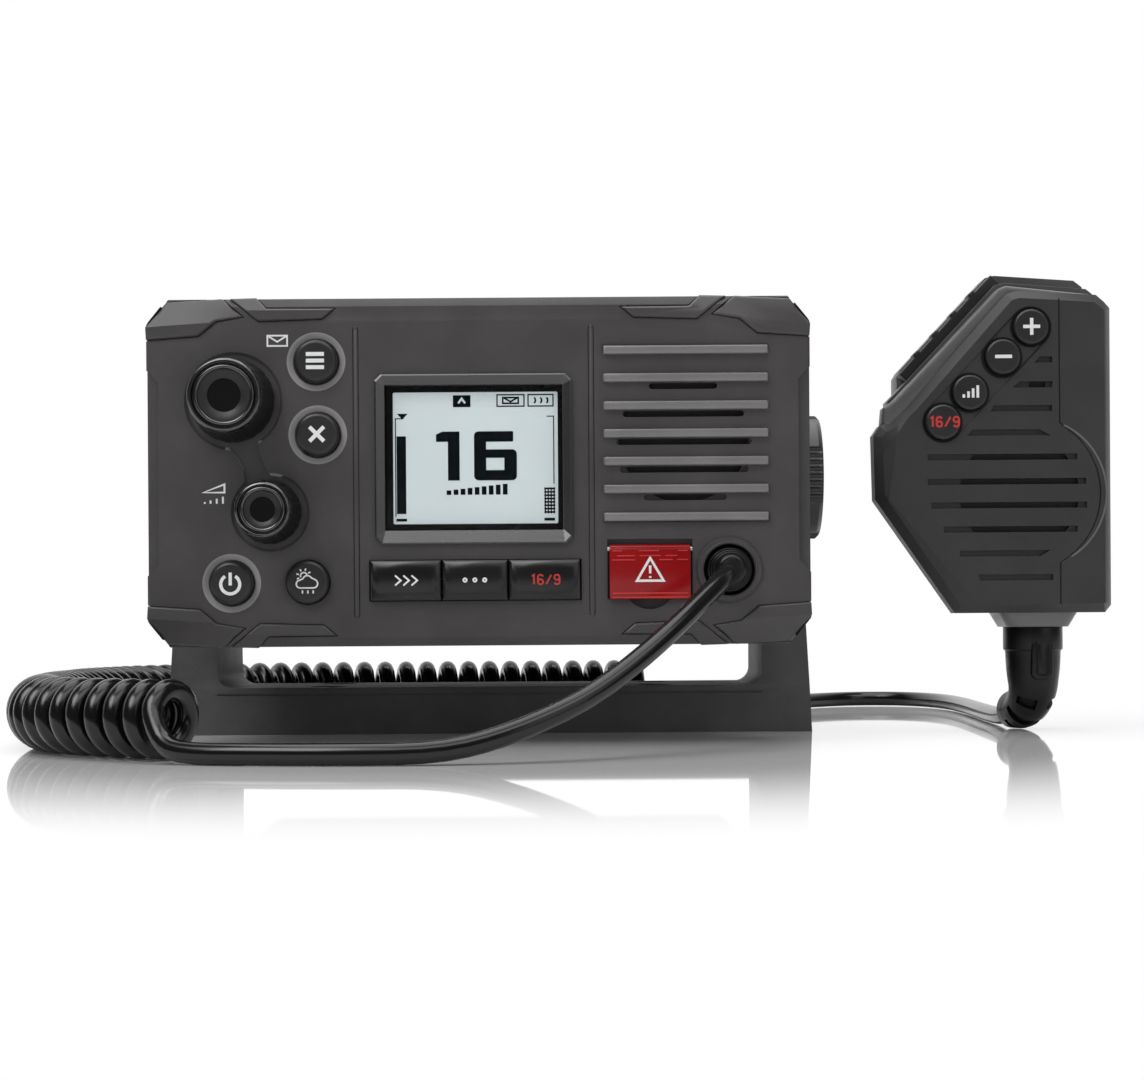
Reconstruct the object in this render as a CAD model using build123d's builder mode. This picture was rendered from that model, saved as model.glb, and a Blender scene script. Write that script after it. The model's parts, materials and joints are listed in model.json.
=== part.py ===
"""Fixed-mount marine VHF radio in its gimbal bracket, with a curly microphone cord and a fist microphone.

Millimetres. +Z up, the face looks towards -Y, +X to the right. The origin is the centre of the
bracket's base, on the surface it stands on. Face positions are given from the middle of the face.
"""

from build123d import *
from math import atan2, cos, degrees, pi, radians, sin, tan
import os

os.makedirs("parts", exist_ok=True)


# ---------------------------------------------------------------- clearances
slip = 0.2  # keys and caps in their openings
running = 0.06  # shafts and pins in their bores
seam = 0.3  # line between trims that lie side by side
spin_gap = 0.15  # flat faces that turn past each other

# ---------------------------------------------------------------- radio, overall
face_w = 161.3
face_h = 85.0
face_z = 67.2  # height of the middle of the face
front_y = -90.5
face_plate = 3.2
case_depth = 40.0
case_wall = 2.6
case_cut_x = 5.0  # how far the cut across a corner reaches along the top
case_cut_z = 6.4  # and down the side
face_bevel = 2.2  # along the top and the bottom
side_bevel = 0.6
case_flare = 0.2  # past the face on each side
tilt_z = 70.7  # height of the tilt axis, which runs along X through y = 0
face_left = -face_w / 2
face_right = face_w / 2

# ---------------------------------------------------------------- rear chassis
chassis_side = 9.15  # how far it stands in from the face's sides
chassis_top = 5.5
chassis_w = face_w - 2 * chassis_side
chassis_h = face_h - 2 * chassis_top
chassis_end_y = 60.0
chassis_wall = 3.2
chassis_corner = 5.0
fin_height = 5.0
fin_thick = 2.0
fin_pitch = 9.0
fin_count = 13
fin_span = 34.0
boss_r = 15.0
boss_h = 0.6
gasket_thick = 1.6
flange_thick = 3.0
flange_inset = 1.0
screw_r = 1.4
screw_head_r = 2.5
screw_head_h = 1.8
screw_hex_r = 1.4
screw_hex_floor = 0.7
screw_length = 14.0
screw_side = 3.65  # from the face's side to a screw
screw_top = 9.5
screw_x = face_w / 2 - screw_side
screw_z = face_h / 2 - screw_top

# ---------------------------------------------------------------- gimbal yoke
yoke_depth = 49.0
yoke_base_h = 12.8
yoke_wall = 3.0
yoke_plate = 5.0  # top of the base, which the screws hold
yoke_step = 1.6  # height of the lip along the top of the base
yoke_groove = 0.5
washer_thick = 2.05
window_half = chassis_w / 2 + boss_h + washer_thick + spin_gap
window_corner = 4.0
arm_foot_thick = 13.5
arm_knee_thick = 12.1
arm_top_thick = 8.0
arm_foot_half = window_half + arm_foot_thick
arm_knee_half = window_half + arm_knee_thick
arm_top_half = window_half + arm_top_thick
arm_knee_z = 30.0
arm_waist_z = 54.0
arm_head_r = 20.0
yoke_ribs = 5
base_hole_x = 90.0
base_hole_y = 28.0
base_hole_r = 2.6
base_sink_r = 5.2
base_boss_r = 7.0

# ---------------------------------------------------------------- clamp knobs
clamp_r = 17.65
clamp_thick = 9.95
clamp_edge = 1.2
clamp_seat = arm_top_half + spin_gap
clamp_grip_depth = 1.0
clamp_grips = 4
clamp_ribs = 8
clamp_rib_span = 44.0
stud_r = 4.0
insert_r = 6.0
insert_length = 9.0
washer_r = 13.5

# ---------------------------------------------------------------- front controls (x, z on the face)
knob_height = 15.0
big_knob = (face_left + 21.05, 17.4)
big_knob_r = 10.2
small_knob = (face_left + 29.85, -9.7)
small_knob_r = 7.8
knob_lift = 1.0  # from the face to the underside of a knob
knob_taper = 0.8  # front radius over skirt radius
shaft_r = 3.0
rotor_r = 4.6
encoder_half = 7.0
push_travel = 0.8
knob_dish = 0.66  # dish of a knob's front over its skirt radius
knob_disc = 0.4
knob_dish_depth = 1.2
knob_bore = 10.5
halo_gap = 1.8
halo_depth = 0.8
halo_slope = 40.0  # of a halo's wall, out of the face's normal
moat_slope = 60.0
# outline of the dished neck between the halos of the two knobs
neck_outline = (
    (face_left + 19.85, 6.0), (face_left + 22.05, 3.4), (face_left + 23.45, 0.6), (face_left + 23.75, -2.6),
    (face_left + 30.45, -1.5), (face_left + 28.65, 1.6), (face_left + 27.25, 4.8), (face_left + 27.05, 8.0),
)
rib_grooves = (face_left + 50.85, face_right - 53.15)  # fine grooves down the face, beside the screen
rib_groove_w = 1.5
rib_groove_half = 35.4
rib_groove_depth = 0.45

key_r = 5.3
key_proud = 2.4
moat_r = 7.15
menu_key = (face_left + 41.25, 26.9)
cancel_key = (face_left + 41.55, 9.1)
power_key = (face_left + 20.35, -26.9)
weather_key = (face_left + 38.95, -26.8)

screen_left = face_left + 55.25
screen_right = face_right - 57.75
screen_top = 23.5
screen_bottom = -17.6
screen_frame = 2.4
screen_proud = 1.2
screen_bevel = 0.84
lens_thick = 1.6

bar_left = face_left + 54.05
bar_right = face_right - 55.95
bar_top = -21.7
bar_bottom = -31.4
bar_splits = (bar_left + 17.5, bar_right - 17.6)
bar_corner = 1.3
bar_proud = 2.4
bar_bevel = 1.4

slat_left = face_right - 50.35
slat_right = face_right - 9.95
slat_top = 29.2  # middle of the highest slat
slat_pitch = 6.77
slat_height = 2.55
slat_count = 7
slat_proud = 1.4
speaker_x = face_right - 30.65
speaker_z = 8.0
speaker_r = 18.5
speaker_basket_r = 16.6
speaker_magnet_r = 11.1
speaker_taper = 30.0
speaker_depth = 11.0
# ends of the slots between the slats, from the speaker's middle
sound_slots = ((-8.4, 8.2), (-14.8, 14.7), (-16.5, 16.5), (-15.6, 15.7), (-9.8, 10.3))
sound_slot_h = 1.5

flap_left = face_right - 48.95
flap_right = face_right - 29.25
flap_top = -18.0
flap_bottom = -31.4
flap_thick = 1.8
flap_proud = 1.2
flap_gap = 0.5
flap_knuckle_r = 1.2
flap_pin_r = 0.6
flap_pin_depth = 0.7
flap_pin_bite = 1.0  # how far the pin goes into the case at each end
recess_top = -16.8
recess_depth = 2.2
distress_key_w = 11.0
distress_key_h = 6.0
scoop_x = face_right - 39.15
scoop_half = 6.5
scoop_bottom = -33.9

gland = (face_right - 19.75, -24.4)
gland_ring_r = 7.4
gland_recess_r = 6.2
grommet_r = 4.6
grommet_flange = 1.5
grommet_tip = 8.1  # in front of the face
scallop_half = 25.0
scallop_slope = 3.0
scallop_depth = 2.7
scallop_back = 2.0  # behind the face
cap_proud = 0.8
cap_depth = 2.4
# outlines of the trims, as distances in from the face's side and top
cap_outline = (
    (-0.25, 10.3), (12.75, 9.4), (16.95, 5.9), (23.95, 4.7), (18.25, -0.2), (4.55, 0.5), (-0.45, 6.9),
)
clip_outline = ((19.65, -0.2), (26.65, -0.4), (29.35, 2.4), (46.35, 2.5), (42.85, 5.4), (27.25, 5.9))

# ---------------------------------------------------------------- boards inside the front
board_depth = 12.0  # from the face to the front board
board_thick = 1.6
cavity_w = face_w - 2 * (case_wall + scallop_depth)
cavity_h = face_h - 2 * case_wall
board_side = 4.35  # from the case's side wall to the front board
board_top = 5.9
board_w = cavity_w - 2 * board_side
board_h = cavity_h - 2 * board_top
pillar_r = 3.2
pillar_side = 3.0  # from the board's edge to the middle of a pillar
pillar_top = 1.0
pillar_x = board_w / 2 - pillar_side
pillar_z = board_h / 2 - pillar_top
key_flange = 0.8
key_back = 4.6  # depth of a key's back
dome_gap = 0.9  # from a key's back to the mat's dome
mat_thick = 1.4
mat_inset = 7.0
mat_edge = 1.75
dome_r = 3.4
dome_margin = 1.0
main_board_z = 52.0
main_board_side = 11.5
main_board_w = chassis_w - 2 * main_board_side
main_board_end = 4.0

# ---------------------------------------------------------------- sockets at the back (x, height)
antenna_at = (chassis_w / 2 - 23.5, face_z + 16.8)
antenna_r = 7.8
antenna_length = 12.0
antenna_bore_r = 5.5
antenna_pin_r = 2.2
antenna_bore = 7.2
power_at = (25.5 - chassis_w / 2, face_z + 16.8)
power_r = 8.0
power_length = 9.0
power_bore = 6.75
power_pins = 3
power_pin_r = 0.8
power_pin_ring_r = 3.2

# ---------------------------------------------------------------- microphone (x, z from its corner point)
mic_x = 135.3
mic_z = 31.3
mic_y = -40.5
mic_front_depth = 10.0
mic_mid_depth = 19.0
mic_depth = 32.0
mic_wall = 2.4
# outlines of its three layers; the slanted edge of the middle one runs from mic_edge[0] to mic_edge[1]
mic_front = (
    (-10.5, 0.6), (-31.6, 31.0), (-32.0, 48.2), (-30.3, 50.8), (-27.6, 52.0), (-22.7, 56.1),
    (3.4, 85.6), (6.4, 86.4), (27.4, 85.2), (31.3, 81.8), (31.2, 2.6), (29.6, 0.6),
)
mic_mid = (
    (-8.6, 1.4), (-27.2, 29.5), (-27.2, 58.0), (-25.2, 60.0), (1.9, 89.1), (4.6, 89.7),
    (26.5, 87.9), (28.6, 86.2), (29.6, 83.0), (29.8, 1.6),
)
mic_edge = (mic_mid[3], mic_mid[4])
mic_rear = (
    (-7.0, 2.4), (-23.4, 27.0), (-23.4, 65.6), (-22.4, 67.3), (1.0, 92.4), (3.4, 93.0),
    (25.2, 91.5), (27.5, 89.7), (28.4, 85.0), (28.6, 2.6),
)
mic_bevel = 2.2
mic_key_r = 4.7
mic_key_proud = 1.6
mic_key_travel = 0.7
mic_keys = {
    "mic_plus_key": (9.5, 76.4),
    "mic_minus_key": (2.0, 68.5),
    "mic_scan_key": (-6.8, 59.1),
    "mic_channel_key": (-14.0, 51.3),
}
mic_key_margin = 0.7
mic_key_recess = 0.3
# slots: ends of the lower edge, height, and how far the upper edge stands in at each end
mic_slots = (
    (10.5, 15.2, 67.8, 1.4, 0.0), (4.6, 15.2, 61.2, 1.9, 0.0), (-1.3, 15.1, 54.9, 1.0, 0.0),
    (-7.4, 14.5, 48.5, 1.4, 2.8), (-18.0, 21.7, 42.0, 0.0, 0.0), (-18.0, 24.0, 35.5, 0.0, 0.0),
    (-17.1, 24.2, 29.2, 0.0, 0.0), (-13.8, 21.7, 22.8, 0.0, 0.0), (-9.6, 11.8, 16.4, 0.0, -2.6),
    (-4.2, 15.1, 10.0, -0.6, 0.0),
)
open_slots = mic_slots[4:8]  # these go right through in front of the speaker
mic_slot_depth = 1.2
mic_slot_h = 1.6
seam_x = 17.1
seam_w = 0.4
seam_depth = 0.6
seam_bow = ((17.1, 51.0), (21.4, 47.5), (27.8, 33.4), (17.9, 14.4), (17.1, 13.8))
mic_speaker_at = (6.45, 32.4)
mic_speaker_r = 15.9
mic_speaker_h = 4.0
mic_board_depth = 8.0
capsule_at = (11.4, 61.2)
capsule_hole_r = 2.2
capsule_r = 3.0
ptt_start = 5.0  # from the lower end of the slanted edge
ptt_length = 36.5
ptt_thick = 6.4
ptt_reach = 7.0
ptt_proud = 2.6
ptt_ribs = 4
ptt_rib_half = 1.0
ptt_rib_proud = 0.8
collar_top_half = 10.8
collar_bottom_half = 8.4
collar_h = 3.2
collar_x = 12.8
collar_top_depth = 19.8
collar_bottom_depth = 17.6
hang_stud_r = 5.0
hang_stud_head_r = 7.5
hang_stud_neck = 3.0
hang_stud_head = 2.4
hang_stud_edge = 0.8
hang_stud_z = 58.6
mic_screw_r = 1.5
mic_screw_hex_r = 1.2
mic_screw_head_r = 2.8
mic_screw_head_h = 1.0
mic_screw_length = 10.0
mic_screws_at = ((collar_x, 12.0), (18.6, 83.0))

# ---------------------------------------------------------------- cord
cord_r = 2.6
coil_r = 9.25
relief_r = 8.0
relief_step_z = 21.7  # below this height the relief is a little slimmer
relief_waist_r = 7.45
relief_end_r = 5.2
relief_tip = 3.0
relief_bend_r = 6.8  # where the bend begins
relief_top = mic_z - collar_h - spin_gap
relief_bend = 8.0
relief_sections = 4
relief_low = 5.3  # height of the strain relief's lower end
relief_turn = 110.5  # direction of its lower end, from +X towards +Y
spigot_r = 3.4
spigot_h = 6.0
spigot_room = 2.0
coil_route = (
    (43, 62), (-10, 62.6), (-62, 61), (-96, 46), (-112, 12), (-114, -34), (-110, -80), (-92, -120),
    (-60, -149),
)
front_route = (
    (-60, -149, 2.6), (-44, -160, 2.6), (-25, -160.5, 2.6), (-6, -159, 2.6), (7, -155.5, 5.6),
    (20, -150, 10.8), (28.6, -143, 15.4), (37.6, -135, 21.9), (46.3, -126, 29.2), (52.7, -116.8, 35.3),
    (59.5, -107.5, 41.3), (60.9, -99.4, 42.8),
)
rear_route = (
    (144.6, -15, 5), (143.8, -7.5, 3.2), (143.9, 6, 2.6), (145.6, 40, 2.6), (148.4, 86, 2.6),
    (147.8, 122, 2.6), (139, 147, 2.6), (121, 152, 2.6), (104, 136, 2.6), (88, 113, 2.6), (74, 90, 2.6),
    (62, 74, 2.6), (43, 63, 2.6),
)


# ---------------------------------------------------------------- helpers
def face_plane(depth=0.0, at=(0.0, 0.0)):
    """Plane that looks out of the radio's face, at a depth behind it and a place on it."""
    return Plane(origin=(at[0], front_y + depth, face_z + at[1]), x_dir=(1, 0, 0), z_dir=(0, -1, 0))


def mic_plane(depth=0.0, at=(0.0, 0.0)):
    """Plane that looks out of the microphone's front, at a depth behind it and a place on it."""
    return Plane(origin=(mic_x + at[0], mic_y + depth, mic_z + at[1]), x_dir=(1, 0, 0), z_dir=(0, -1, 0))


def save(part, name):
    """Labels a finished piece and writes it."""
    part.label = name
    export_step(part, f"parts/{name}.step")


def route_radii(points):
    """Radius of each arc of a cord: as large as the shorter of its two runs allows."""
    radii = []
    for before, corner, after in zip(points, points[1:], points[2:]):
        run_in = Vector(*corner) - Vector(*before)
        run_out = Vector(*after) - Vector(*corner)
        turn = run_in.get_angle(run_out)
        radii.append(0.45 * min(run_in.length, run_out.length) / tan(radians(turn / 2)))
    return radii


def print_tube(name, points, radii, wire, radius, part):
    """Prints the arcs of a cord's tube, and its volume against its section times its length."""
    share = part.volume / (pi * radius**2 * wire.length)
    rounded = [round(r, 1) for r in radii]
    print(name, "length", round(wire.length, 1), "radii", rounded, "volume", round(share, 4))


# ================================================================ gimbal yoke
arm_end = tilt_z + arm_head_r
with BuildPart() as gimbal_yoke:
    with BuildSketch(Plane.XZ.offset(-yoke_depth / 2)):
        with BuildLine():
            Polyline(
                (-arm_foot_half, 0), (arm_foot_half, 0), (arm_knee_half, arm_knee_z),
                (arm_top_half, arm_waist_z), (arm_top_half, arm_end), (window_half, arm_end),
                (window_half, yoke_base_h), (-window_half, yoke_base_h), (-window_half, arm_end),
                (-arm_top_half, arm_end), (-arm_top_half, arm_waist_z), (-arm_knee_half, arm_knee_z),
                close=True,
            )
        make_face()
    extrude(amount=yoke_depth)
    inner = gimbal_yoke.edges().filter_by(Axis.Y).filter_by(
        lambda e: abs(e.center().Z - yoke_base_h) < 0.01 and abs(abs(e.center().X) - window_half) < 0.01
    )
    fillet(inner, window_corner)
    with BuildSketch(Plane.YZ.offset(-arm_foot_half)):
        with BuildLine():
            foot = yoke_depth / 2
            Polyline((-foot, 0), (foot, 0), (foot, yoke_base_h), (arm_head_r, tilt_z), (-arm_head_r, tilt_z),
                     (-foot, yoke_base_h), close=True)
        make_face()
        with Locations((0, tilt_z)):
            Circle(arm_head_r)
    extrude(amount=2 * arm_foot_half, mode=Mode.INTERSECT)
    # the base is a tray turned upside down, with cross ribs and screw bosses under it
    cell = (2 * (arm_foot_half - 2 * yoke_wall)) / (yoke_ribs + 1)
    with BuildSketch(Plane.XY):
        with GridLocations(cell, 0, yoke_ribs + 1, 1):
            Rectangle(cell - yoke_wall, yoke_depth - 2 * yoke_wall)
        with GridLocations(base_hole_x, base_hole_y, 2, 2):
            Circle(base_boss_r, mode=Mode.SUBTRACT)
    extrude(amount=yoke_base_h - yoke_plate, mode=Mode.SUBTRACT)
    with Locations(Plane.XY.offset(yoke_base_h)):
        with GridLocations(base_hole_x, base_hole_y, 2, 2):
            CounterSinkHole(base_hole_r, base_sink_r, counter_sink_angle=90)
    # step line along the front and back of the base
    for side in (-1, 1):
        with BuildSketch(Plane.XY.offset(yoke_base_h - yoke_step - yoke_groove)):
            with Locations((0, side * yoke_depth / 2)):
                Rectangle(2 * window_half, 2 * yoke_groove)
        extrude(amount=yoke_groove, mode=Mode.SUBTRACT)
    # bores for the clamp studs
    with BuildSketch(Plane.YZ.offset(-arm_foot_half)):
        with Locations((0, tilt_z)):
            Circle(stud_r + running)
    extrude(amount=2 * arm_foot_half, mode=Mode.SUBTRACT)
save(gimbal_yoke.part, "gimbal_yoke")

# ================================================================ front case and its trims
def corner_copies(outline):
    """The outline in each of the face's four corners."""
    signs = [(right, up) for right in (-1, 1) for up in (-1, 1)]
    return [[(right * (face_w / 2 - x), up * (face_h / 2 - z)) for x, z in outline] for right, up in signs]


def box_between(left, right, bottom, top):
    """Centre and size of a rectangle given by its sides."""
    return ((left + right) / 2, (bottom + top) / 2), (right - left, top - bottom)


knobs = {"channel": (big_knob, big_knob_r), "volume": (small_knob, small_knob_r)}
round_keys = {
    "menu_key": menu_key, "cancel_key": cancel_key, "power_key": power_key, "weather_key": weather_key,
}
window_at, window_size = box_between(
    screen_left + screen_frame,
    screen_right - screen_frame,
    screen_bottom + screen_frame,
    screen_top - screen_frame,
)
bar_at, bar_size = box_between(bar_left, bar_right, bar_bottom, bar_top)
slat_bottom = slat_top - (slat_count - 1) * slat_pitch
grille_at, grille_size = box_between(
    slat_left, slat_right, slat_bottom - slat_height / 2, slat_top + slat_height / 2
)
recess_at, recess_size = box_between(flap_left - flap_gap, flap_right + flap_gap, flap_bottom, recess_top)
flap_pin_z = flap_top - flap_knuckle_r
distress_at = (recess_at[0], (flap_pin_z + flap_bottom) / 2)

case_outline = []
for right, up in ((1, 1), (-1, 1), (-1, -1), (1, -1)):
    on_side = (right * (face_w / 2 + case_flare), up * (face_h / 2 - case_cut_z))
    on_edge = (right * (face_w / 2 - case_cut_x), up * face_h / 2)
    case_outline += [on_side, on_edge] if right == up else [on_edge, on_side]

with BuildPart() as front_case:
    with BuildSketch(face_plane()):
        Polygon(*case_outline, align=None)
    extrude(amount=-case_depth)
    rims = front_case.faces().sort_by(Axis.Y)[0].edges()
    chamfer(rims.filter_by(Axis.X), face_bevel)
    rims = front_case.faces().sort_by(Axis.Y)[0].edges()
    chamfer(rims.filter_by(Axis.Z), side_bevel)
    # shallow scallops in the face, down both sides
    with BuildSketch(face_plane()):
        for side in (-1, 1):
            edge = side * face_w / 2
            floor_x = side * (face_w / 2 - scallop_depth)
            with BuildLine():
                Polyline(
                    (edge + side, scallop_half), (edge, scallop_half),
                    (floor_x, scallop_half - scallop_slope), (floor_x, scallop_slope - scallop_half),
                    (edge, -scallop_half), (edge + side, -scallop_half), close=True,
                )
            make_face()
    extrude(amount=-scallop_back, mode=Mode.SUBTRACT)
    with BuildSketch(face_plane(face_plate)):
        Rectangle(cavity_w, cavity_h)
    extrude(amount=face_plate - case_depth, mode=Mode.SUBTRACT)
    # pillars that carry the front board
    with BuildSketch(face_plane(face_plate)):
        with GridLocations(2 * pillar_x, 2 * pillar_z, 2, 2):
            Circle(pillar_r)
    extrude(amount=face_plate - board_depth)
    # seats of the corner caps and edge clips
    with BuildSketch(face_plane(cap_depth)):
        for outline in corner_copies(cap_outline) + corner_copies(clip_outline):
            Polygon(*outline, align=None)
    extrude(amount=cap_depth + 1, mode=Mode.SUBTRACT)
    # halos round the knobs and moats round the keys
    with BuildSketch(face_plane()):
        for at, radius in knobs.values():
            with Locations(at):
                Circle(radius + halo_gap)
    extrude(amount=-halo_depth, taper=halo_slope, mode=Mode.SUBTRACT)
    with BuildSketch(face_plane()):
        for at in (menu_key, cancel_key, power_key):
            with Locations(at):
                Circle(moat_r)
    extrude(amount=-halo_depth, taper=moat_slope, mode=Mode.SUBTRACT)
    with BuildSketch(face_plane()):
        Polygon(*neck_outline, align=None)
    extrude(amount=-halo_depth, mode=Mode.SUBTRACT)
    with BuildSketch(face_plane()):
        for groove_x in rib_grooves:
            with Locations((groove_x, 0)):
                SlotOverall(2 * rib_groove_half, rib_groove_w, rotation=90)
    extrude(amount=-rib_groove_depth, mode=Mode.SUBTRACT)
    # recess of the distress flap, with its finger scoop
    with BuildSketch(face_plane()):
        with Locations(recess_at):
            Rectangle(*recess_size)
        with Locations((scoop_x, scoop_bottom + scoop_half)):
            Circle(scoop_half)
    extrude(amount=-recess_depth, mode=Mode.SUBTRACT)
    with BuildSketch(Plane.YZ.offset(flap_left - flap_gap - flap_pin_bite)):
        with Locations((front_y + flap_pin_depth, face_z + flap_pin_z)):
            Circle(flap_pin_r + running)
    extrude(amount=flap_right - flap_left + 2 * (flap_gap + flap_pin_bite), mode=Mode.SUBTRACT)
    # pocket of the speaker grille
    with BuildSketch(face_plane()):
        with Locations(grille_at):
            Rectangle(*grille_size)
    extrude(amount=-slat_proud, mode=Mode.SUBTRACT)
    # openings right through the plate
    with BuildSketch(face_plane()):
        with Locations(window_at):
            Rectangle(*window_size)
        with Locations(bar_at):
            Rectangle(bar_size[0] + 2 * slip, bar_size[1] + 2 * slip)
        for at, _ in knobs.values():
            with Locations(at):
                Circle(shaft_r + slip)
        for at in round_keys.values():
            with Locations(at):
                Circle(key_r + slip)
        with Locations((speaker_x, speaker_z)):
            Circle(speaker_r - case_wall)
        with Locations(gland):
            Circle(gland_recess_r)
        with Locations(distress_at):
            Rectangle(distress_key_w + 2 * slip, distress_key_h + 2 * slip)
    extrude(amount=-face_plate, mode=Mode.SUBTRACT)
    # holes for the screws from behind
    with BuildSketch(face_plane(case_depth)):
        with GridLocations(2 * screw_x, 2 * screw_z, 2, 2):
            Circle(screw_r + running)
    extrude(amount=screw_length - flange_thick - gasket_thick + 1, mode=Mode.SUBTRACT)
save(front_case.part, "front_case")

with BuildPart() as corner_caps:
    with BuildSketch(face_plane(cap_depth)):
        for outline in corner_copies(cap_outline):
            Polygon(*outline, align=None)
        offset(amount=-seam / 2, kind=Kind.INTERSECTION)
    extrude(amount=cap_depth + cap_proud)
    chamfer(corner_caps.faces().group_by(Axis.Y)[0].edges(), cap_proud / 2)
save(corner_caps.part, "corner_caps")

with BuildPart() as edge_clips:
    with BuildSketch(face_plane(cap_depth)):
        for outline in corner_copies(clip_outline):
            Polygon(*outline, align=None)
        offset(amount=-seam / 2, kind=Kind.INTERSECTION)
    extrude(amount=cap_depth + cap_proud)
    chamfer(edge_clips.faces().group_by(Axis.Y)[0].edges(), cap_proud / 2)
save(edge_clips.part, "edge_clips")

with BuildPart() as speaker_grille:
    with BuildSketch(face_plane(slat_proud)):
        with Locations(grille_at):
            Rectangle(grille_size[0] - 2 * slip, grille_size[1] - 2 * slip)
    extrude(amount=slat_proud)
    with BuildSketch(face_plane()):
        for row in range(slat_count):
            with Locations((grille_at[0], slat_top - row * slat_pitch)):
                Rectangle(grille_size[0] - 2 * slip, slat_height - 2 * slip)
    extrude(amount=slat_proud)
    with BuildSketch(face_plane(slat_proud)):
        for row, (left, right) in enumerate(sound_slots):
            slot_z = slat_top - (row + 1) * slat_pitch - slat_height / 2 - sound_slot_h / 2
            with Locations((speaker_x + (left + right) / 2, slot_z)):
                SlotOverall(right - left, sound_slot_h)
    extrude(amount=slat_proud, mode=Mode.SUBTRACT)
save(speaker_grille.part, "speaker_grille")

# ================================================================ screen
with BuildPart() as screen_bezel:
    outer_at, outer_size = box_between(screen_left, screen_right, screen_bottom, screen_top)
    with BuildSketch(face_plane()):
        with Locations(outer_at):
            RectangleRounded(*outer_size, bar_corner)
        with Locations(window_at):
            Rectangle(*window_size, mode=Mode.SUBTRACT)
    extrude(amount=screen_proud)
    rim = screen_bezel.faces().sort_by(Axis.Y)[0].outer_wire().edges()
    chamfer(rim, screen_bevel)
save(screen_bezel.part, "screen_bezel")

with BuildPart() as screen_lens:
    with BuildSketch(face_plane(face_plate)):
        with Locations(window_at):
            Rectangle(window_size[0] - 2 * slip, window_size[1] - 2 * slip)
    extrude(amount=lens_thick)
save(screen_lens.part, "screen_lens")

with BuildPart() as lcd_module:
    with BuildSketch(face_plane(face_plate)):
        with Locations(window_at):
            Rectangle(window_size[0] + 2 * case_wall, window_size[1] + 2 * case_wall)
    extrude(amount=face_plate - board_depth)
save(lcd_module.part, "lcd_module")

# ================================================================ loudspeaker, boards and key mat
with BuildPart() as loudspeaker:
    with BuildSketch(face_plane(face_plate)):
        with Locations((speaker_x, speaker_z)):
            Circle(speaker_r)
    extrude(amount=-speaker_depth / 3)
    with BuildSketch(face_plane(face_plate + speaker_depth / 3)):
        with Locations((speaker_x, speaker_z)):
            Circle(speaker_basket_r)
    extrude(amount=-speaker_depth / 3, taper=speaker_taper)
    with BuildSketch(face_plane(face_plate + speaker_depth * 2 / 3)):
        with Locations((speaker_x, speaker_z)):
            Circle(speaker_magnet_r)
    extrude(amount=-speaker_depth / 3)
save(loudspeaker.part, "loudspeaker")

with BuildPart() as front_board:
    with BuildSketch(face_plane(board_depth)):
        Rectangle(board_w, board_h)
        with Locations((speaker_x, speaker_z)):
            Circle(speaker_r + slip, mode=Mode.SUBTRACT)
    extrude(amount=-board_thick)
save(front_board.part, "front_board")

soft_keys = {}
bar_edges = (bar_left, *bar_splits, bar_right)
soft_names = ("left_soft_key", "middle_soft_key", "right_soft_key")
for name, left, right in zip(soft_names, bar_edges, bar_edges[1:]):
    soft_keys[name] = (left, right)

with BuildPart() as key_mat:
    strip_at, strip_size = box_between(
        mat_inset - board_w / 2, recess_at[0] + recess_size[0] / 2, mat_edge - board_h / 2,
        window_at[1] - window_size[1] / 2 - 2 * case_wall,
    )
    with BuildSketch(face_plane(board_depth)):
        with Locations(strip_at):
            Rectangle(*strip_size)
        column_right = window_at[0] - window_size[0] / 2 - 2 * case_wall
        column_at, column_size = box_between(
            mat_inset - board_w / 2, column_right, mat_edge - board_h / 2, board_h / 2 - mat_edge
        )
        with Locations(column_at):
            Rectangle(*column_size)
        for at, _ in knobs.values():
            with Locations(at):
                Rectangle(2 * encoder_half + seam, 2 * encoder_half + seam, mode=Mode.SUBTRACT)
    extrude(amount=mat_thick)
    with BuildSketch(face_plane(board_depth - mat_thick)):
        for at in round_keys.values():
            with Locations(at):
                Circle(dome_r)
        for left, right in soft_keys.values():
            with Locations(((left + right) / 2, bar_at[1])):
                Circle(dome_r)
        with Locations(distress_at):
            Rectangle(distress_key_w - 2 * dome_margin, distress_key_h - 2 * dome_margin)
    extrude(amount=board_depth - mat_thick - key_back - dome_gap)
save(key_mat.part, "key_mat")

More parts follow.
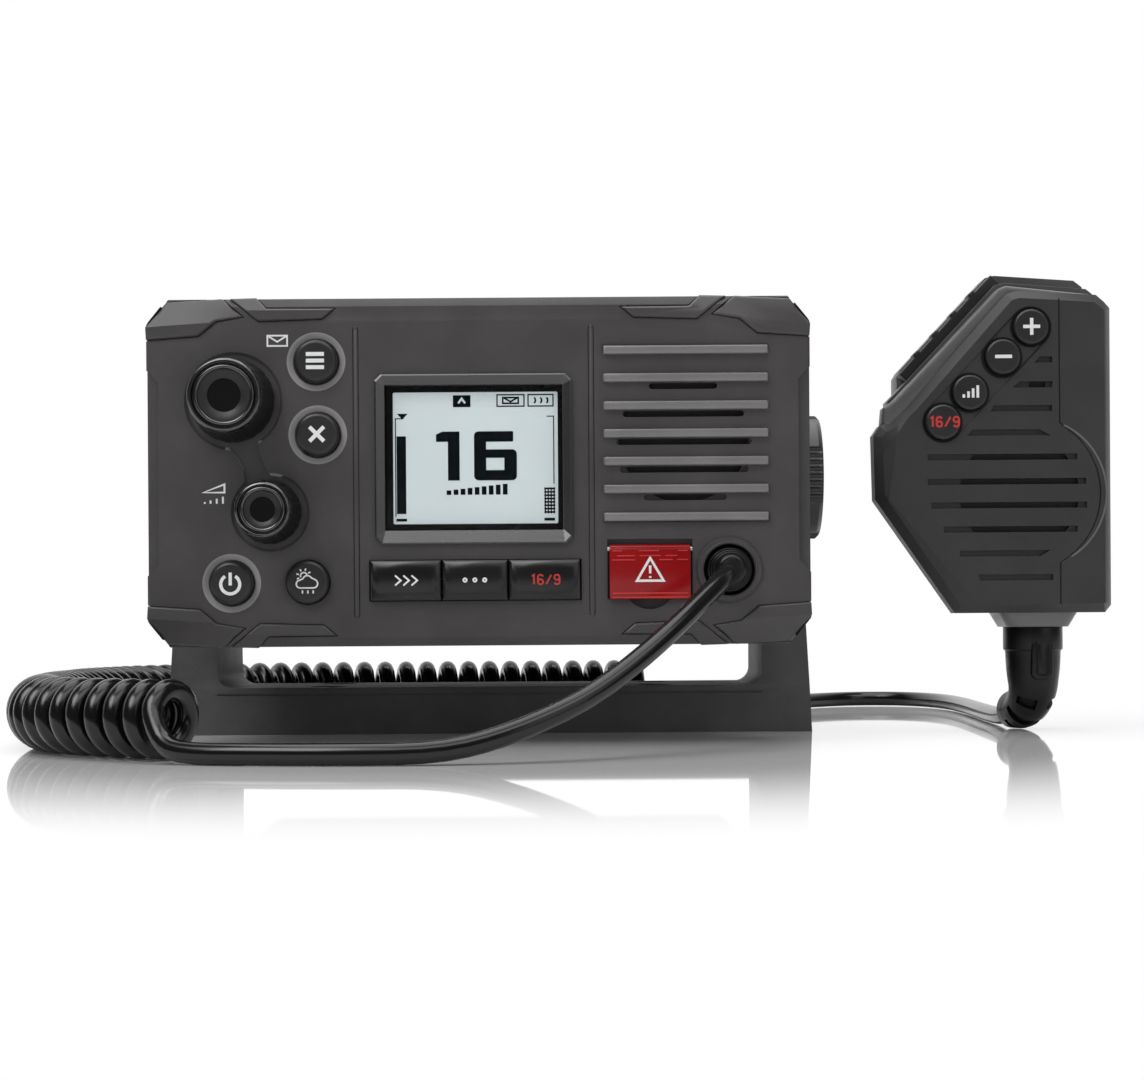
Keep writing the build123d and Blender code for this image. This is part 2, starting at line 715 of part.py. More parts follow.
# ================================================================ knobs on their encoders
for name, (at, radius) in knobs.items():
    with BuildPart() as encoder:
        with BuildSketch(face_plane(board_depth, at)):
            Rectangle(2 * encoder_half, 2 * encoder_half)
            Circle(rotor_r + running, mode=Mode.SUBTRACT)
        extrude(amount=board_depth - face_plate)
    save(encoder.part, name + "_encoder")

    with BuildPart() as rotor:
        with BuildSketch(face_plane(board_depth - spin_gap, at)):
            Circle(rotor_r)
            Circle(shaft_r + running, mode=Mode.SUBTRACT)
        extrude(amount=board_depth - face_plate - 2 * spin_gap)
    save(rotor.part, name + "_rotor")

    shaft_back = board_depth - push_travel - spin_gap
    with BuildPart() as shaft:
        with BuildSketch(face_plane(shaft_back, at)):
            Circle(shaft_r)
        extrude(amount=shaft_back + knob_lift + knob_bore)
    save(shaft.part, name + "_shaft")

    with BuildPart() as knob:
        with BuildSketch(face_plane(-knob_lift, at)):
            Circle(radius)
        extrude(amount=knob_height, taper=degrees(atan2(radius * (1 - knob_taper), knob_height)))
        # a stepped dish with a disc in its middle
        with BuildSketch(face_plane(-knob_lift - knob_height, at)):
            Circle(radius * knob_dish)
            Circle(radius * knob_disc, mode=Mode.SUBTRACT)
        extrude(amount=-knob_dish_depth, mode=Mode.SUBTRACT)
        with BuildSketch(face_plane(-knob_lift, at)):
            Circle(shaft_r + running / 3)
        extrude(amount=knob_bore, mode=Mode.SUBTRACT)
    save(knob.part, name + "_knob")

# ================================================================ keys
for name, at in round_keys.items():
    with BuildPart() as key:
        with BuildSketch(face_plane(key_back, at)):
            Circle(key_r)
        extrude(amount=key_back + key_proud)
        fillet(key.faces().sort_by(Axis.Y)[0].edges(), key_proud / 2)
        with BuildSketch(face_plane(key_back, at)):
            Circle(key_r + key_flange)
        extrude(amount=key_back - face_plate - spin_gap / 3)
    save(key.part, name)

for name, (left, right) in soft_keys.items():
    key_at, key_size = box_between(left, right, bar_bottom, bar_top)
    with BuildPart() as key:
        with BuildSketch(face_plane(key_back, key_at)):
            Rectangle(key_size[0] - seam, key_size[1])
        extrude(amount=key_back + bar_proud)
        chamfer(key.faces().sort_by(Axis.Y)[0].edges(), bar_bevel)
    save(key.part, name)

with BuildPart() as distress_key:
    key_front = flap_thick - flap_proud + seam
    with BuildSketch(face_plane(key_back, distress_at)):
        Rectangle(distress_key_w, distress_key_h)
    extrude(amount=key_back - key_front)
    with BuildSketch(face_plane(key_back, distress_at)):
        Rectangle(distress_key_w + 2 * key_flange, distress_key_h + 2 * key_flange)
    extrude(amount=key_back - face_plate - spin_gap / 3)
save(distress_key.part, "distress_key")

with BuildPart() as distress_flap:
    with BuildSketch(face_plane(flap_thick - flap_proud)):
        flap_at, flap_size = box_between(flap_left, flap_right, flap_bottom, flap_pin_z)
        with Locations(flap_at):
            Rectangle(*flap_size)
    extrude(amount=flap_thick)
    with BuildSketch(Plane.YZ.offset(flap_left)):
        with Locations((front_y + flap_pin_depth, face_z + flap_pin_z)):
            Circle(flap_knuckle_r)
    extrude(amount=flap_right - flap_left)
    with BuildSketch(Plane.YZ.offset(flap_left)):
        with Locations((front_y + flap_pin_depth, face_z + flap_pin_z)):
            Circle(flap_pin_r + running)
    extrude(amount=flap_right - flap_left, mode=Mode.SUBTRACT)
save(distress_flap.part, "distress_flap")

with BuildPart() as flap_pin:
    pin_length = flap_right - flap_left + 2 * (flap_gap + flap_pin_bite) - 2 * running
    with BuildSketch(Plane.YZ.offset(flap_left - flap_gap - flap_pin_bite + running)):
        with Locations((front_y + flap_pin_depth, face_z + flap_pin_z)):
            Circle(flap_pin_r)
    extrude(amount=pin_length)
save(flap_pin.part, "flap_pin")

# ================================================================ cord gland
with BuildPart() as gland_ring:
    with BuildSketch(face_plane(0, gland)):
        Circle(gland_ring_r)
        Circle(gland_recess_r, mode=Mode.SUBTRACT)
    extrude(amount=key_proud)
    chamfer(gland_ring.faces().sort_by(Axis.Y)[0].outer_wire().edges(), seam)
save(gland_ring.part, "gland_ring")

with BuildPart() as cord_grommet:
    with BuildSketch(face_plane(key_back, gland)):
        Circle(gland_recess_r + grommet_flange)
    extrude(amount=key_back - face_plate)
    with BuildSketch(face_plane(face_plate, gland)):
        Circle(gland_recess_r - running)
    extrude(amount=face_plate)
    for step, radius in enumerate((grommet_r * 1.2, grommet_r * 1.08, grommet_r)):
        with BuildSketch(face_plane(-step * grommet_tip / 3, gland)):
            Circle(radius)
        extrude(amount=grommet_tip / 3)
save(cord_grommet.part, "cord_grommet")

# ================================================================ rear chassis and what it carries
flange_y = front_y + case_depth + gasket_thick
chassis_front_y = flange_y + flange_thick
chassis_floor = face_z - chassis_h / 2 + chassis_wall
chassis_back = Plane.XZ.offset(-chassis_end_y)
boss_x = chassis_w / 2 + boss_h

with BuildPart() as case_gasket:
    with BuildSketch(face_plane(case_depth)):
        Polygon(*case_outline, align=None)
        offset(amount=-flange_inset, kind=Kind.INTERSECTION)
        Rectangle(cavity_w, cavity_h, mode=Mode.SUBTRACT)
        with GridLocations(2 * screw_x, 2 * screw_z, 2, 2):
            Circle(screw_r + running, mode=Mode.SUBTRACT)
    extrude(amount=-gasket_thick)
save(case_gasket.part, "case_gasket")

with BuildPart() as rear_chassis:
    with BuildSketch(face_plane(flange_y - front_y)):
        Polygon(*case_outline, align=None)
        offset(amount=-flange_inset, kind=Kind.INTERSECTION)
    extrude(amount=-flange_thick)
    with BuildSketch(Plane.XZ.offset(-flange_y)):
        with Locations((0, face_z)):
            RectangleRounded(chassis_w, chassis_h, chassis_corner)
    extrude(amount=flange_y - chassis_end_y)
    with BuildSketch(Plane.XZ.offset(-flange_y)):
        with Locations((0, face_z)):
            Rectangle(chassis_w - 2 * chassis_wall, chassis_h - 2 * chassis_wall)
    extrude(amount=flange_y - chassis_end_y + chassis_wall, mode=Mode.SUBTRACT)
    with BuildSketch(Plane.XZ.offset(-flange_y)):
        with Locations((0, face_z)):
            with GridLocations(2 * screw_x, 2 * screw_z, 2, 2):
                Circle(screw_r + running)
    extrude(amount=-flange_thick, mode=Mode.SUBTRACT)
    # fins on the lower half of the back
    with BuildSketch(chassis_back):
        with Locations((0, face_z - chassis_h / 2 + chassis_corner + fin_span / 2)):
            with GridLocations(fin_pitch, 0, fin_count, 1):
                Rectangle(fin_thick, fin_span)
    extrude(amount=-fin_height)
    # bosses of the tilt axis, thickened inside for the inserts
    for side in (-1, 1):
        with BuildSketch(Plane.YZ.offset(side * boss_x)):
            with Locations((0, tilt_z)):
                Circle(boss_r)
        extrude(amount=-side * (boss_h + chassis_wall))
        with BuildSketch(Plane.YZ.offset(side * boss_x)):
            with Locations((0, tilt_z)):
                Circle(insert_r + chassis_wall)
        extrude(amount=-side * (insert_length + chassis_wall))
        with BuildSketch(Plane.YZ.offset(side * boss_x)):
            with Locations((0, tilt_z)):
                Circle(insert_r)
        extrude(amount=-side * insert_length, mode=Mode.SUBTRACT)
    # pillars under the main board
    with BuildSketch(Plane.XY.offset(chassis_floor)):
        with GridLocations(main_board_w - 4 * pillar_r, chassis_end_y, 2, 2):
            Circle(pillar_r)
    extrude(amount=main_board_z - chassis_floor)
save(rear_chassis.part, "rear_chassis")

with BuildPart() as main_board:
    board_front = chassis_front_y + main_board_end
    board_back = chassis_end_y - chassis_wall - main_board_end
    with BuildSketch(Plane.XY.offset(main_board_z)):
        with Locations((0, (board_front + board_back) / 2)):
            Rectangle(main_board_w, board_back - board_front)
    extrude(amount=board_thick)
save(main_board.part, "main_board")

with BuildPart() as case_screws:
    with BuildSketch(Plane.XZ.offset(-chassis_front_y)):
        with Locations((0, face_z)):
            with GridLocations(2 * screw_x, 2 * screw_z, 2, 2):
                Circle(screw_r)
    extrude(amount=screw_length)
    with BuildSketch(Plane.XZ.offset(-chassis_front_y)):
        with Locations((0, face_z)):
            with GridLocations(2 * screw_x, 2 * screw_z, 2, 2):
                Circle(screw_head_r)
                RegularPolygon(screw_hex_r, 6, mode=Mode.SUBTRACT)
    extrude(amount=-screw_head_h)
    with BuildSketch(Plane.XZ.offset(-chassis_front_y)):
        with Locations((0, face_z)):
            with GridLocations(2 * screw_x, 2 * screw_z, 2, 2):
                Circle(screw_head_r)
    extrude(amount=-screw_hex_floor)
save(case_screws.part, "case_screws")

with BuildPart() as bracket_inserts:
    for side in (-1, 1):
        with BuildSketch(Plane.YZ.offset(side * boss_x)):
            with Locations((0, tilt_z)):
                Circle(insert_r)
                Circle(stud_r + running, mode=Mode.SUBTRACT)
        extrude(amount=-side * insert_length)
save(bracket_inserts.part, "bracket_inserts")

with BuildPart() as friction_washers:
    for side in (-1, 1):
        with BuildSketch(Plane.YZ.offset(side * boss_x)):
            with Locations((0, tilt_z)):
                Circle(washer_r)
                Circle(stud_r + running, mode=Mode.SUBTRACT)
        extrude(amount=side * washer_thick)
save(friction_washers.part, "friction_washers")

for name, side in (("clamp_knob_left", -1), ("clamp_knob_right", 1)):
    with BuildPart() as clamp_knob:
        with BuildSketch(Plane.YZ.offset(side * clamp_seat)):
            with Locations((0, tilt_z)):
                Circle(clamp_r)
        extrude(amount=side * clamp_thick)
        outer_face = clamp_knob.faces().sort_by(Axis.X)[-1 if side > 0 else 0]
        chamfer(outer_face.edges(), clamp_edge)
        # ribbed patches round the rim
        with BuildSketch(Plane.YZ.offset(side * clamp_seat)):
            with Locations((0, tilt_z)):
                for patch in range(clamp_grips):
                    middle = patch * 360 / clamp_grips
                    with PolarLocations(clamp_r, clamp_ribs, middle - clamp_rib_span / 2, clamp_rib_span,
                                        endpoint=True):
                        Circle(clamp_grip_depth)
        extrude(amount=side * clamp_thick, mode=Mode.SUBTRACT)
        with BuildSketch(Plane.YZ.offset(side * (boss_x - insert_length + seam))):
            with Locations((0, tilt_z)):
                Circle(stud_r)
        extrude(amount=side * (arm_top_half + clamp_thick / 2 - boss_x + insert_length - seam))
    save(clamp_knob.part, name)

with BuildPart() as antenna_socket:
    with BuildSketch(chassis_back):
        with Locations(antenna_at):
            Circle(antenna_r)
    extrude(amount=-antenna_length)
    with BuildSketch(Plane.XZ.offset(-chassis_end_y - antenna_length)):
        with Locations(antenna_at):
            Circle(antenna_bore_r)
            Circle(antenna_pin_r, mode=Mode.SUBTRACT)
    extrude(amount=antenna_bore, mode=Mode.SUBTRACT)
save(antenna_socket.part, "antenna_socket")

with BuildPart() as power_socket:
    with BuildSketch(chassis_back):
        with Locations(power_at):
            Circle(power_r)
    extrude(amount=-power_length)
    with BuildSketch(Plane.XZ.offset(-chassis_end_y - power_length)):
        with Locations(power_at):
            Circle(power_r - case_wall / 2)
            with PolarLocations(power_pin_ring_r, power_pins):
                Circle(power_pin_r, mode=Mode.SUBTRACT)
    extrude(amount=power_bore, mode=Mode.SUBTRACT)
save(power_socket.part, "power_socket")

# ================================================================ microphone
edge_start = Vector(*mic_edge[0], 0)
edge_end = Vector(*mic_edge[1], 0)
edge_run = (edge_end - edge_start).normalized()
edge_out = Vector(-edge_run.Y, edge_run.X, 0)


def ptt_outline(first, last, outside, inside):
    """Outline along the slanted edge: from first to last along it, outside and inside of it."""
    corners = ((first, outside), (last, outside), (last, -inside), (first, -inside))
    places = [edge_start + edge_run * along + edge_out * out for along, out in corners]
    return [(place.X, place.Y) for place in places]


def slot_outline(left, right, height, left_slant, right_slant):
    """Outline of a slot whose ends may slant."""
    low = height - mic_slot_h / 2
    high = height + mic_slot_h / 2
    return ((left, low), (right, low), (right - right_slant, high), (left + left_slant, high))


with BuildPart() as mic_front_cover:
    with BuildSketch(mic_plane()):
        Polygon(*mic_front, align=None)
    extrude(amount=-mic_front_depth)
    chamfer(mic_front_cover.faces().sort_by(Axis.Y)[0].edges(), mic_bevel)
    with BuildSketch(mic_plane(mic_wall)):
        Polygon(*mic_mid, align=None)
        offset(amount=-mic_wall * 2, kind=Kind.INTERSECTION)
    extrude(amount=mic_wall - mic_front_depth, mode=Mode.SUBTRACT)
    # a rib that the microphone's board sits on
    with BuildSketch(mic_plane(mic_wall)):
        with Locations(mic_speaker_at):
            Circle(mic_speaker_r + mic_wall)
            Circle(mic_speaker_r + slip, mode=Mode.SUBTRACT)
    extrude(amount=mic_wall - mic_board_depth)
    # shallow bed of the keys
    with BuildSketch(mic_plane()):
        with Locations(mic_keys["mic_plus_key"], mic_keys["mic_channel_key"]):
            Circle(mic_key_r + mic_key_margin)
        make_hull()
    extrude(amount=-mic_key_recess, mode=Mode.SUBTRACT)
    # slots: shallow ones, and four that are open in front of the speaker
    with BuildSketch(mic_plane()):
        for slot in mic_slots:
            Polygon(*slot_outline(*slot), align=None)
    extrude(amount=-mic_slot_depth, mode=Mode.SUBTRACT)
    with BuildSketch(mic_plane()):
        for slot in open_slots:
            Polygon(*slot_outline(*slot), align=None)
        with Locations(mic_speaker_at):
            Circle(mic_speaker_r, mode=Mode.INTERSECT)
    extrude(amount=-mic_wall, mode=Mode.SUBTRACT)
    with BuildSketch(mic_plane()):
        with Locations(capsule_at):
            Circle(capsule_hole_r)
            Rectangle(2 * capsule_hole_r, mic_slot_h, mode=Mode.INTERSECT)
        for at in mic_keys.values():
            with Locations(at):
                Circle(mic_key_r + slip)
    extrude(amount=-mic_board_depth, mode=Mode.SUBTRACT)
    # seam between the grille's half and the plain half
    with BuildSketch(mic_plane()):
        with BuildLine():
            Line((seam_x, mic_front[7][1]), seam_bow[0])
            Line(seam_bow[0], seam_bow[1])
            ThreePointArc(seam_bow[1], seam_bow[2], seam_bow[3])
            Line(seam_bow[3], seam_bow[4])
            Line(seam_bow[4], (seam_x, 0))
        trace(line_width=seam_w)
    extrude(amount=-seam_depth, mode=Mode.SUBTRACT)
save(mic_front_cover.part, "mic_front_cover")

with BuildPart() as mic_rear_shell:
    with BuildSketch(mic_plane(mic_front_depth)):
        Polygon(*mic_mid, align=None)
    extrude(amount=mic_front_depth - mic_mid_depth)
    with BuildSketch(mic_plane(mic_mid_depth)):
        Polygon(*mic_rear, align=None)
    extrude(amount=mic_mid_depth - mic_depth)
    chamfer(mic_rear_shell.faces().sort_by(Axis.Y)[-1].edges(), mic_bevel)
    # the hollow follows each layer, with a wall where one layer stands out past the other
    with BuildSketch(mic_plane(mic_front_depth)):
        Polygon(*mic_mid, align=None)
        offset(amount=-mic_wall, kind=Kind.INTERSECTION)
    extrude(amount=mic_front_depth - mic_mid_depth + mic_wall, mode=Mode.SUBTRACT)
    with BuildSketch(mic_plane(mic_mid_depth + mic_wall)):
        Polygon(*mic_rear, align=None)
        offset(amount=-mic_wall, kind=Kind.INTERSECTION)
    extrude(amount=mic_mid_depth - mic_depth + 2 * mic_wall, mode=Mode.SUBTRACT)
    with BuildSketch(mic_plane(mic_mid_depth - mic_wall)):
        Polygon(*mic_mid, align=None)
        Polygon(*mic_rear, align=None, mode=Mode.INTERSECT)
        offset(amount=-mic_wall, kind=Kind.INTERSECTION)
    extrude(amount=-2 * mic_wall, mode=Mode.SUBTRACT)
    # slot of the push-to-talk bar
    with BuildSketch(mic_plane(mic_front_depth + mic_wall / 2)):
        opening = ptt_outline(ptt_start - slip, ptt_start + ptt_length + slip, 3 * mic_wall, 3 * mic_wall)
        Polygon(*opening, align=None)
    extrude(amount=-ptt_thick - 2 * slip, mode=Mode.SUBTRACT)
    with BuildSketch(Plane.XY.offset(mic_z - collar_h)):
        with Locations((mic_x + collar_x, mic_y + mic_depth / 2)):
            Circle(spigot_r + running)
    extrude(amount=collar_h + spigot_h + spigot_room, mode=Mode.SUBTRACT)
    # posts for the screws from behind
    with BuildSketch(mic_plane(mic_depth - mic_wall)):
        with Locations(*mic_screws_at):
            Circle(2 * mic_screw_r)
    extrude(amount=mic_depth - mic_wall - mic_mid_depth)
    with BuildSketch(mic_plane(mic_depth)):
        with Locations(*mic_screws_at):
            Circle(mic_screw_r + running)
    extrude(amount=mic_screw_length + running, mode=Mode.SUBTRACT)
save(mic_rear_shell.part, "mic_rear_shell")

with BuildPart() as mic_screws:
    with BuildSketch(mic_plane(mic_depth)):
        with Locations(*mic_screws_at):
            Circle(mic_screw_r)
    extrude(amount=mic_screw_length)
    with BuildSketch(mic_plane(mic_depth)):
        with Locations(*mic_screws_at):
            Circle(mic_screw_head_r)
            RegularPolygon(mic_screw_hex_r, 6, mode=Mode.SUBTRACT)
    extrude(amount=-mic_screw_head_h)
save(mic_screws.part, "mic_screws")

with BuildPart() as mic_collar:
    with BuildSketch(Plane.XY.offset(mic_z)):
        with Locations((mic_x + collar_x, mic_y + mic_depth / 2)):
            RectangleRounded(2 * collar_top_half, collar_top_depth, collar_h)
    with BuildSketch(Plane.XY.offset(mic_z - collar_h)):
        with Locations((mic_x + collar_x, mic_y + mic_depth / 2)):
            RectangleRounded(2 * collar_bottom_half, collar_bottom_depth, collar_h)
    loft()
    with BuildSketch(Plane.XY.offset(mic_z - collar_h)):
        with Locations((mic_x + collar_x, mic_y + mic_depth / 2)):
            Circle(spigot_r + running)
    extrude(amount=collar_h, mode=Mode.SUBTRACT)
save(mic_collar.part, "mic_collar")

with BuildPart() as push_to_talk_bar:
    with BuildSketch(mic_plane(mic_front_depth + mic_wall / 2 + slip)):
        Polygon(*ptt_outline(ptt_start, ptt_start + ptt_length, ptt_proud, ptt_reach), align=None)
    extrude(amount=-ptt_thick)
    for rib in range(ptt_ribs):
        along = ptt_start + ptt_length * (rib + 1) / (ptt_ribs + 1)
        with BuildSketch(mic_plane(mic_front_depth + mic_wall / 2 + slip)):
            ridge = ptt_outline(along - ptt_rib_half, along + ptt_rib_half, ptt_proud + ptt_rib_proud, 0)
            Polygon(*ridge, align=None)
        extrude(amount=-ptt_thick)
save(push_to_talk_bar.part, "push_to_talk_bar")

for name, at in mic_keys.items():
    with BuildPart() as key:
        key_back_depth = mic_board_depth - mic_key_travel - spin_gap
        with BuildSketch(mic_plane(key_back_depth, at)):
            Circle(mic_key_r)
        extrude(amount=key_back_depth + mic_key_proud)
        fillet(key.faces().sort_by(Axis.Y)[0].edges(), mic_key_proud / 2)
    save(key.part, name)

with BuildPart() as mic_speaker:
    with BuildSketch(mic_plane(mic_wall)):
        with Locations(mic_speaker_at):
            Circle(mic_speaker_r)
    extrude(amount=-mic_speaker_h)
save(mic_speaker.part, "mic_speaker")

with BuildPart() as mic_board:
    with BuildSketch(mic_plane(mic_board_depth)):
        Polygon(*mic_mid, align=None)
        offset(amount=-mic_wall * 2 - slip, kind=Kind.INTERSECTION)
    extrude(amount=-board_thick)
save(mic_board.part, "mic_board")

with BuildPart() as mic_capsule:
    with BuildSketch(mic_plane(mic_board_depth)):
        with Locations(capsule_at):
            Circle(capsule_r)
    extrude(amount=mic_board_depth - mic_wall)
save(mic_capsule.part, "mic_capsule")

stud_at = (collar_x, hang_stud_z)
with BuildPart() as mic_hang_stud:
    with BuildSketch(mic_plane(mic_depth, stud_at)):
        Circle(hang_stud_r)
    extrude(amount=-hang_stud_neck)
    with BuildSketch(mic_plane(mic_depth + hang_stud_neck, stud_at)):
        Circle(hang_stud_head_r)
    extrude(amount=-hang_stud_head)
    chamfer(mic_hang_stud.faces().sort_by(Axis.Y)[-1].edges(), hang_stud_edge)
save(mic_hang_stud.part, "mic_hang_stud")

# ================================================================ cord and strain relief
relief_x = mic_x + collar_x
relief_y = mic_y + mic_depth / 2
heading = (cos(radians(relief_turn)), sin(radians(relief_turn)))
bend_top = relief_low + relief_bend

with BuildPart() as mic_strain_relief:
    with BuildSketch(Plane.XY.offset(relief_top)):
        with Locations((relief_x, relief_y)):
            Circle(relief_r)
    extrude(amount=relief_step_z - relief_top)
    with BuildSketch(Plane.XY.offset(relief_top)):
        with Locations((relief_x, relief_y)):
            Circle(spigot_r)
    extrude(amount=spigot_h)
    # it tapers round the bend
    with BuildSketch(Plane.XY.offset(relief_step_z)):
        with Locations((relief_x, relief_y)):
            Circle(relief_waist_r)
    for section in range(relief_sections + 1):
        share = section / relief_sections
        turn = radians(90 * share)
        out = relief_bend * (1 - cos(turn))
        down = relief_bend * sin(turn)
        place = Plane(
            origin=(relief_x + heading[0] * out, relief_y + heading[1] * out, bend_top - down),
            x_dir=(-heading[1], heading[0], 0),
            z_dir=(heading[0] * sin(turn), heading[1] * sin(turn), -cos(turn)),
        )
        with BuildSketch(place):
            Circle(relief_bend_r + (relief_end_r - relief_bend_r) * share)
    loft()
    with BuildSketch(place):
        Circle(relief_end_r)
    extrude(amount=relief_tip)
save(mic_strain_relief.part, "mic_strain_relief")

coil_points = [(x, y, coil_r) for x, y in coil_route]
for name, points, radius in (
    ("curly_cord", coil_points, coil_r),
    ("cord_front_lead", front_route, cord_r),
    ("cord_rear_lead", rear_route, cord_r),
):
    radii = route_radii(points)
    with BuildPart() as tube:
        with BuildLine() as path:
            FilletPolyline(*points, radius=radii)
        run_out = Vector(*points[1]) - Vector(*points[0])
        with BuildSketch(Plane(origin=points[0], z_dir=run_out)):
            Circle(radius)
        sweep(path=path.wires()[0])
    print_tube(name, points, radii, path.wires()[0], radius, tube.part)
    save(tube.part, name)
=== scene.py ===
"""Dresses the fixed-mount marine radio: finishes, cord, screen, knobs, key signs, studio and camera."""

import json
import logging
from collections.abc import Callable
from dataclasses import dataclass
from enum import Enum
from math import atan2, cos, degrees, pi, radians, sin, sqrt, tau

import bmesh
import bpy
from mathutils import Matrix, Vector


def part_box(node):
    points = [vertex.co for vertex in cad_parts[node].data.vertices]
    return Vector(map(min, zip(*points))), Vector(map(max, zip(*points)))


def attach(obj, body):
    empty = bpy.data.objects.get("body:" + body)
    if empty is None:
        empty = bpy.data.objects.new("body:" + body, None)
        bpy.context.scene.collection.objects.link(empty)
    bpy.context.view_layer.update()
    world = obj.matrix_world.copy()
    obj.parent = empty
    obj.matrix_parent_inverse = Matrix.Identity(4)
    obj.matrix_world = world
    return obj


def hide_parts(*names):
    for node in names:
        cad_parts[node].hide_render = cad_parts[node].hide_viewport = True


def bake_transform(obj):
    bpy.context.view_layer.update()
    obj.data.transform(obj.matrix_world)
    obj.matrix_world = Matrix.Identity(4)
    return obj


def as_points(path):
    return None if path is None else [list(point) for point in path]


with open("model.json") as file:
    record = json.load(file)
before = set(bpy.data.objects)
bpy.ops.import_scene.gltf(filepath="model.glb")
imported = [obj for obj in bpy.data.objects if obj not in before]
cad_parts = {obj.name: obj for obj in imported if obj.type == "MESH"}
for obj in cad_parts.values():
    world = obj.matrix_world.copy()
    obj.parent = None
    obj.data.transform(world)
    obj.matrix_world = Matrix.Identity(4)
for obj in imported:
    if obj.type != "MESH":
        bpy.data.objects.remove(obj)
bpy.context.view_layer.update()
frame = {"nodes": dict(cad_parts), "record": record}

LOG = logging.getLogger("radio")
MM = 0.001

Point2 = tuple[float, float]
Point3 = tuple[float, float, float]
Sides = tuple[float, float, float, float]  # left, right, bottom and top
Socket = bpy.types.NodeSocket
WHITE = (1, 1, 1, 1)


def srgb(red: float, green: float, blue: float) -> Point3:
    """Turns a colour of 0 to 255 per channel into linear values.

    Args:
        red: Red channel.
        green: Green channel.
        blue: Blue channel.

    Returns:
        The linear colour.
    """
    def linear(value: float) -> float:
        """Returns one channel without its gamma."""
        share = value / 255
        return share / 12.92 if share <= 0.04045 else ((share + 0.055) / 1.055) ** 2.4

    return linear(red), linear(green), linear(blue)


# ---------------------------------------------------------------- shader groups
class Nodes:
    """A small helper that places nodes in a tree and links them."""

    def __init__(self, tree: bpy.types.NodeTree) -> None:
        """Keeps the tree that is being filled."""
        self.tree = tree

    def add(self, kind: str, inputs: dict[str | int, object] | None = None,
            **values: object) -> bpy.types.Node:
        """Adds a node, sets its own properties and feeds its inputs.

        Args:
            kind: The node's type.
            inputs: What each input gets, by name or number.
            **values: Properties of the node, by name.

        Returns:
            The new node.
        """
        node = self.tree.nodes.new(kind)
        for name, value in values.items():
            setattr(node, name, value)
        self.feed(node, inputs or {})
        return node

    def feed(self, node: bpy.types.Node, inputs: dict[str | int, object]) -> None:
        """Gives inputs of a node another node's output, or a constant."""
        for name, value in inputs.items():
            if isinstance(value, Socket):
                self.tree.links.new(value, node.inputs[name])
            else:
                node.inputs[name].default_value = value

    def math(self, operation: str, first: object, second: object, clamp: bool = False) -> Socket:
        """Returns the result of a sum of two values."""
        node = self.add("ShaderNodeMath", {0: first, 1: second}, operation=operation, use_clamp=clamp)
        return node.outputs["Value"]

    def span(self, value: Socket, given: Point2, wanted: Point2 = (0.0, 1.0)) -> Socket:
        """Returns a value taken smoothly from one range to another."""
        inputs = {"Value": value, "From Min": given[0], "From Max": given[1],
                  "To Min": wanted[0], "To Max": wanted[1]}
        return self.add("ShaderNodeMapRange", inputs, interpolation_type="SMOOTHSTEP").outputs["Result"]


def shader_group(name: str, inputs: tuple[str, ...],
                 outputs: tuple[str, ...]) -> tuple[Nodes, bpy.types.Node, bpy.types.Node]:
    """Starts a node group of plain numbers.

    Args:
        name: Its name.
        inputs: Names of its inputs.
        outputs: Names of its outputs.

    Returns:
        Its nodes, the node that gives the inputs and the node that takes the outputs.
    """
    group = bpy.data.node_groups.new(name, "ShaderNodeTree")
    for way, names in (("INPUT", inputs), ("OUTPUT", outputs)):
        for socket in names:
            group.interface.new_socket(socket, in_out=way, socket_type="NodeSocketFloat")
    net = Nodes(group)
    return net, net.add("NodeGroupInput"), net.add("NodeGroupOutput")


@dataclass(frozen=True)
class SurfaceGroups:
    """Shader node groups that all finishes share."""

    unevenness: float = 60
    smudges: float = 35
    smudge_twist: float = 0.6

    def grain(self) -> bpy.types.NodeTree:
        """Returns the moulded grain: fine pebbles over a soft unevenness."""
        net, given, out = shader_group("moulded_grain", ("Scale", "Depth"), ("Height", "Mottle"))
        place = net.add("ShaderNodeTexCoord").outputs["Object"]
        scale = given.outputs["Scale"]
        pebbles = net.add("ShaderNodeTexVoronoi", {"Vector": place, "Scale": scale}, feature="SMOOTH_F1")
        fine = net.add("ShaderNodeTexNoise", {"Vector": place, "Scale": scale, "Detail": 3})
        broad = net.add("ShaderNodeTexNoise", {"Vector": place, "Scale": self.unevenness, "Detail": 4})
        both = net.math("ADD", pebbles.outputs["Distance"], fine.outputs["Fac"])
        height = net.math("MULTIPLY", both, given.outputs["Depth"])
        net.feed(out, {"Height": height, "Mottle": broad.outputs["Fac"]})
        return net.tree

    def wear(self) -> bpy.types.NodeTree:
        """Returns the handling marks: faint smudges that change the roughness."""
        net, given, out = shader_group("handling_marks", ("Base", "Amount"), ("Roughness",))
        place = net.add("ShaderNodeTexCoord").outputs["Object"]
        smudge = net.add("ShaderNodeTexNoise", {
            "Vector": place, "Scale": self.smudges, "Detail": 6, "Distortion": self.smudge_twist})
        centred = net.math("SUBTRACT", smudge.outputs["Fac"], 0.5)
        scaled = net.math("MULTIPLY", centred, given.outputs["Amount"])
        net.feed(out, {"Roughness": net.math("ADD", scaled, given.outputs["Base"], clamp=True)})
        return net.tree


GRAIN = SurfaceGroups().grain()
WEAR = SurfaceGroups().wear()


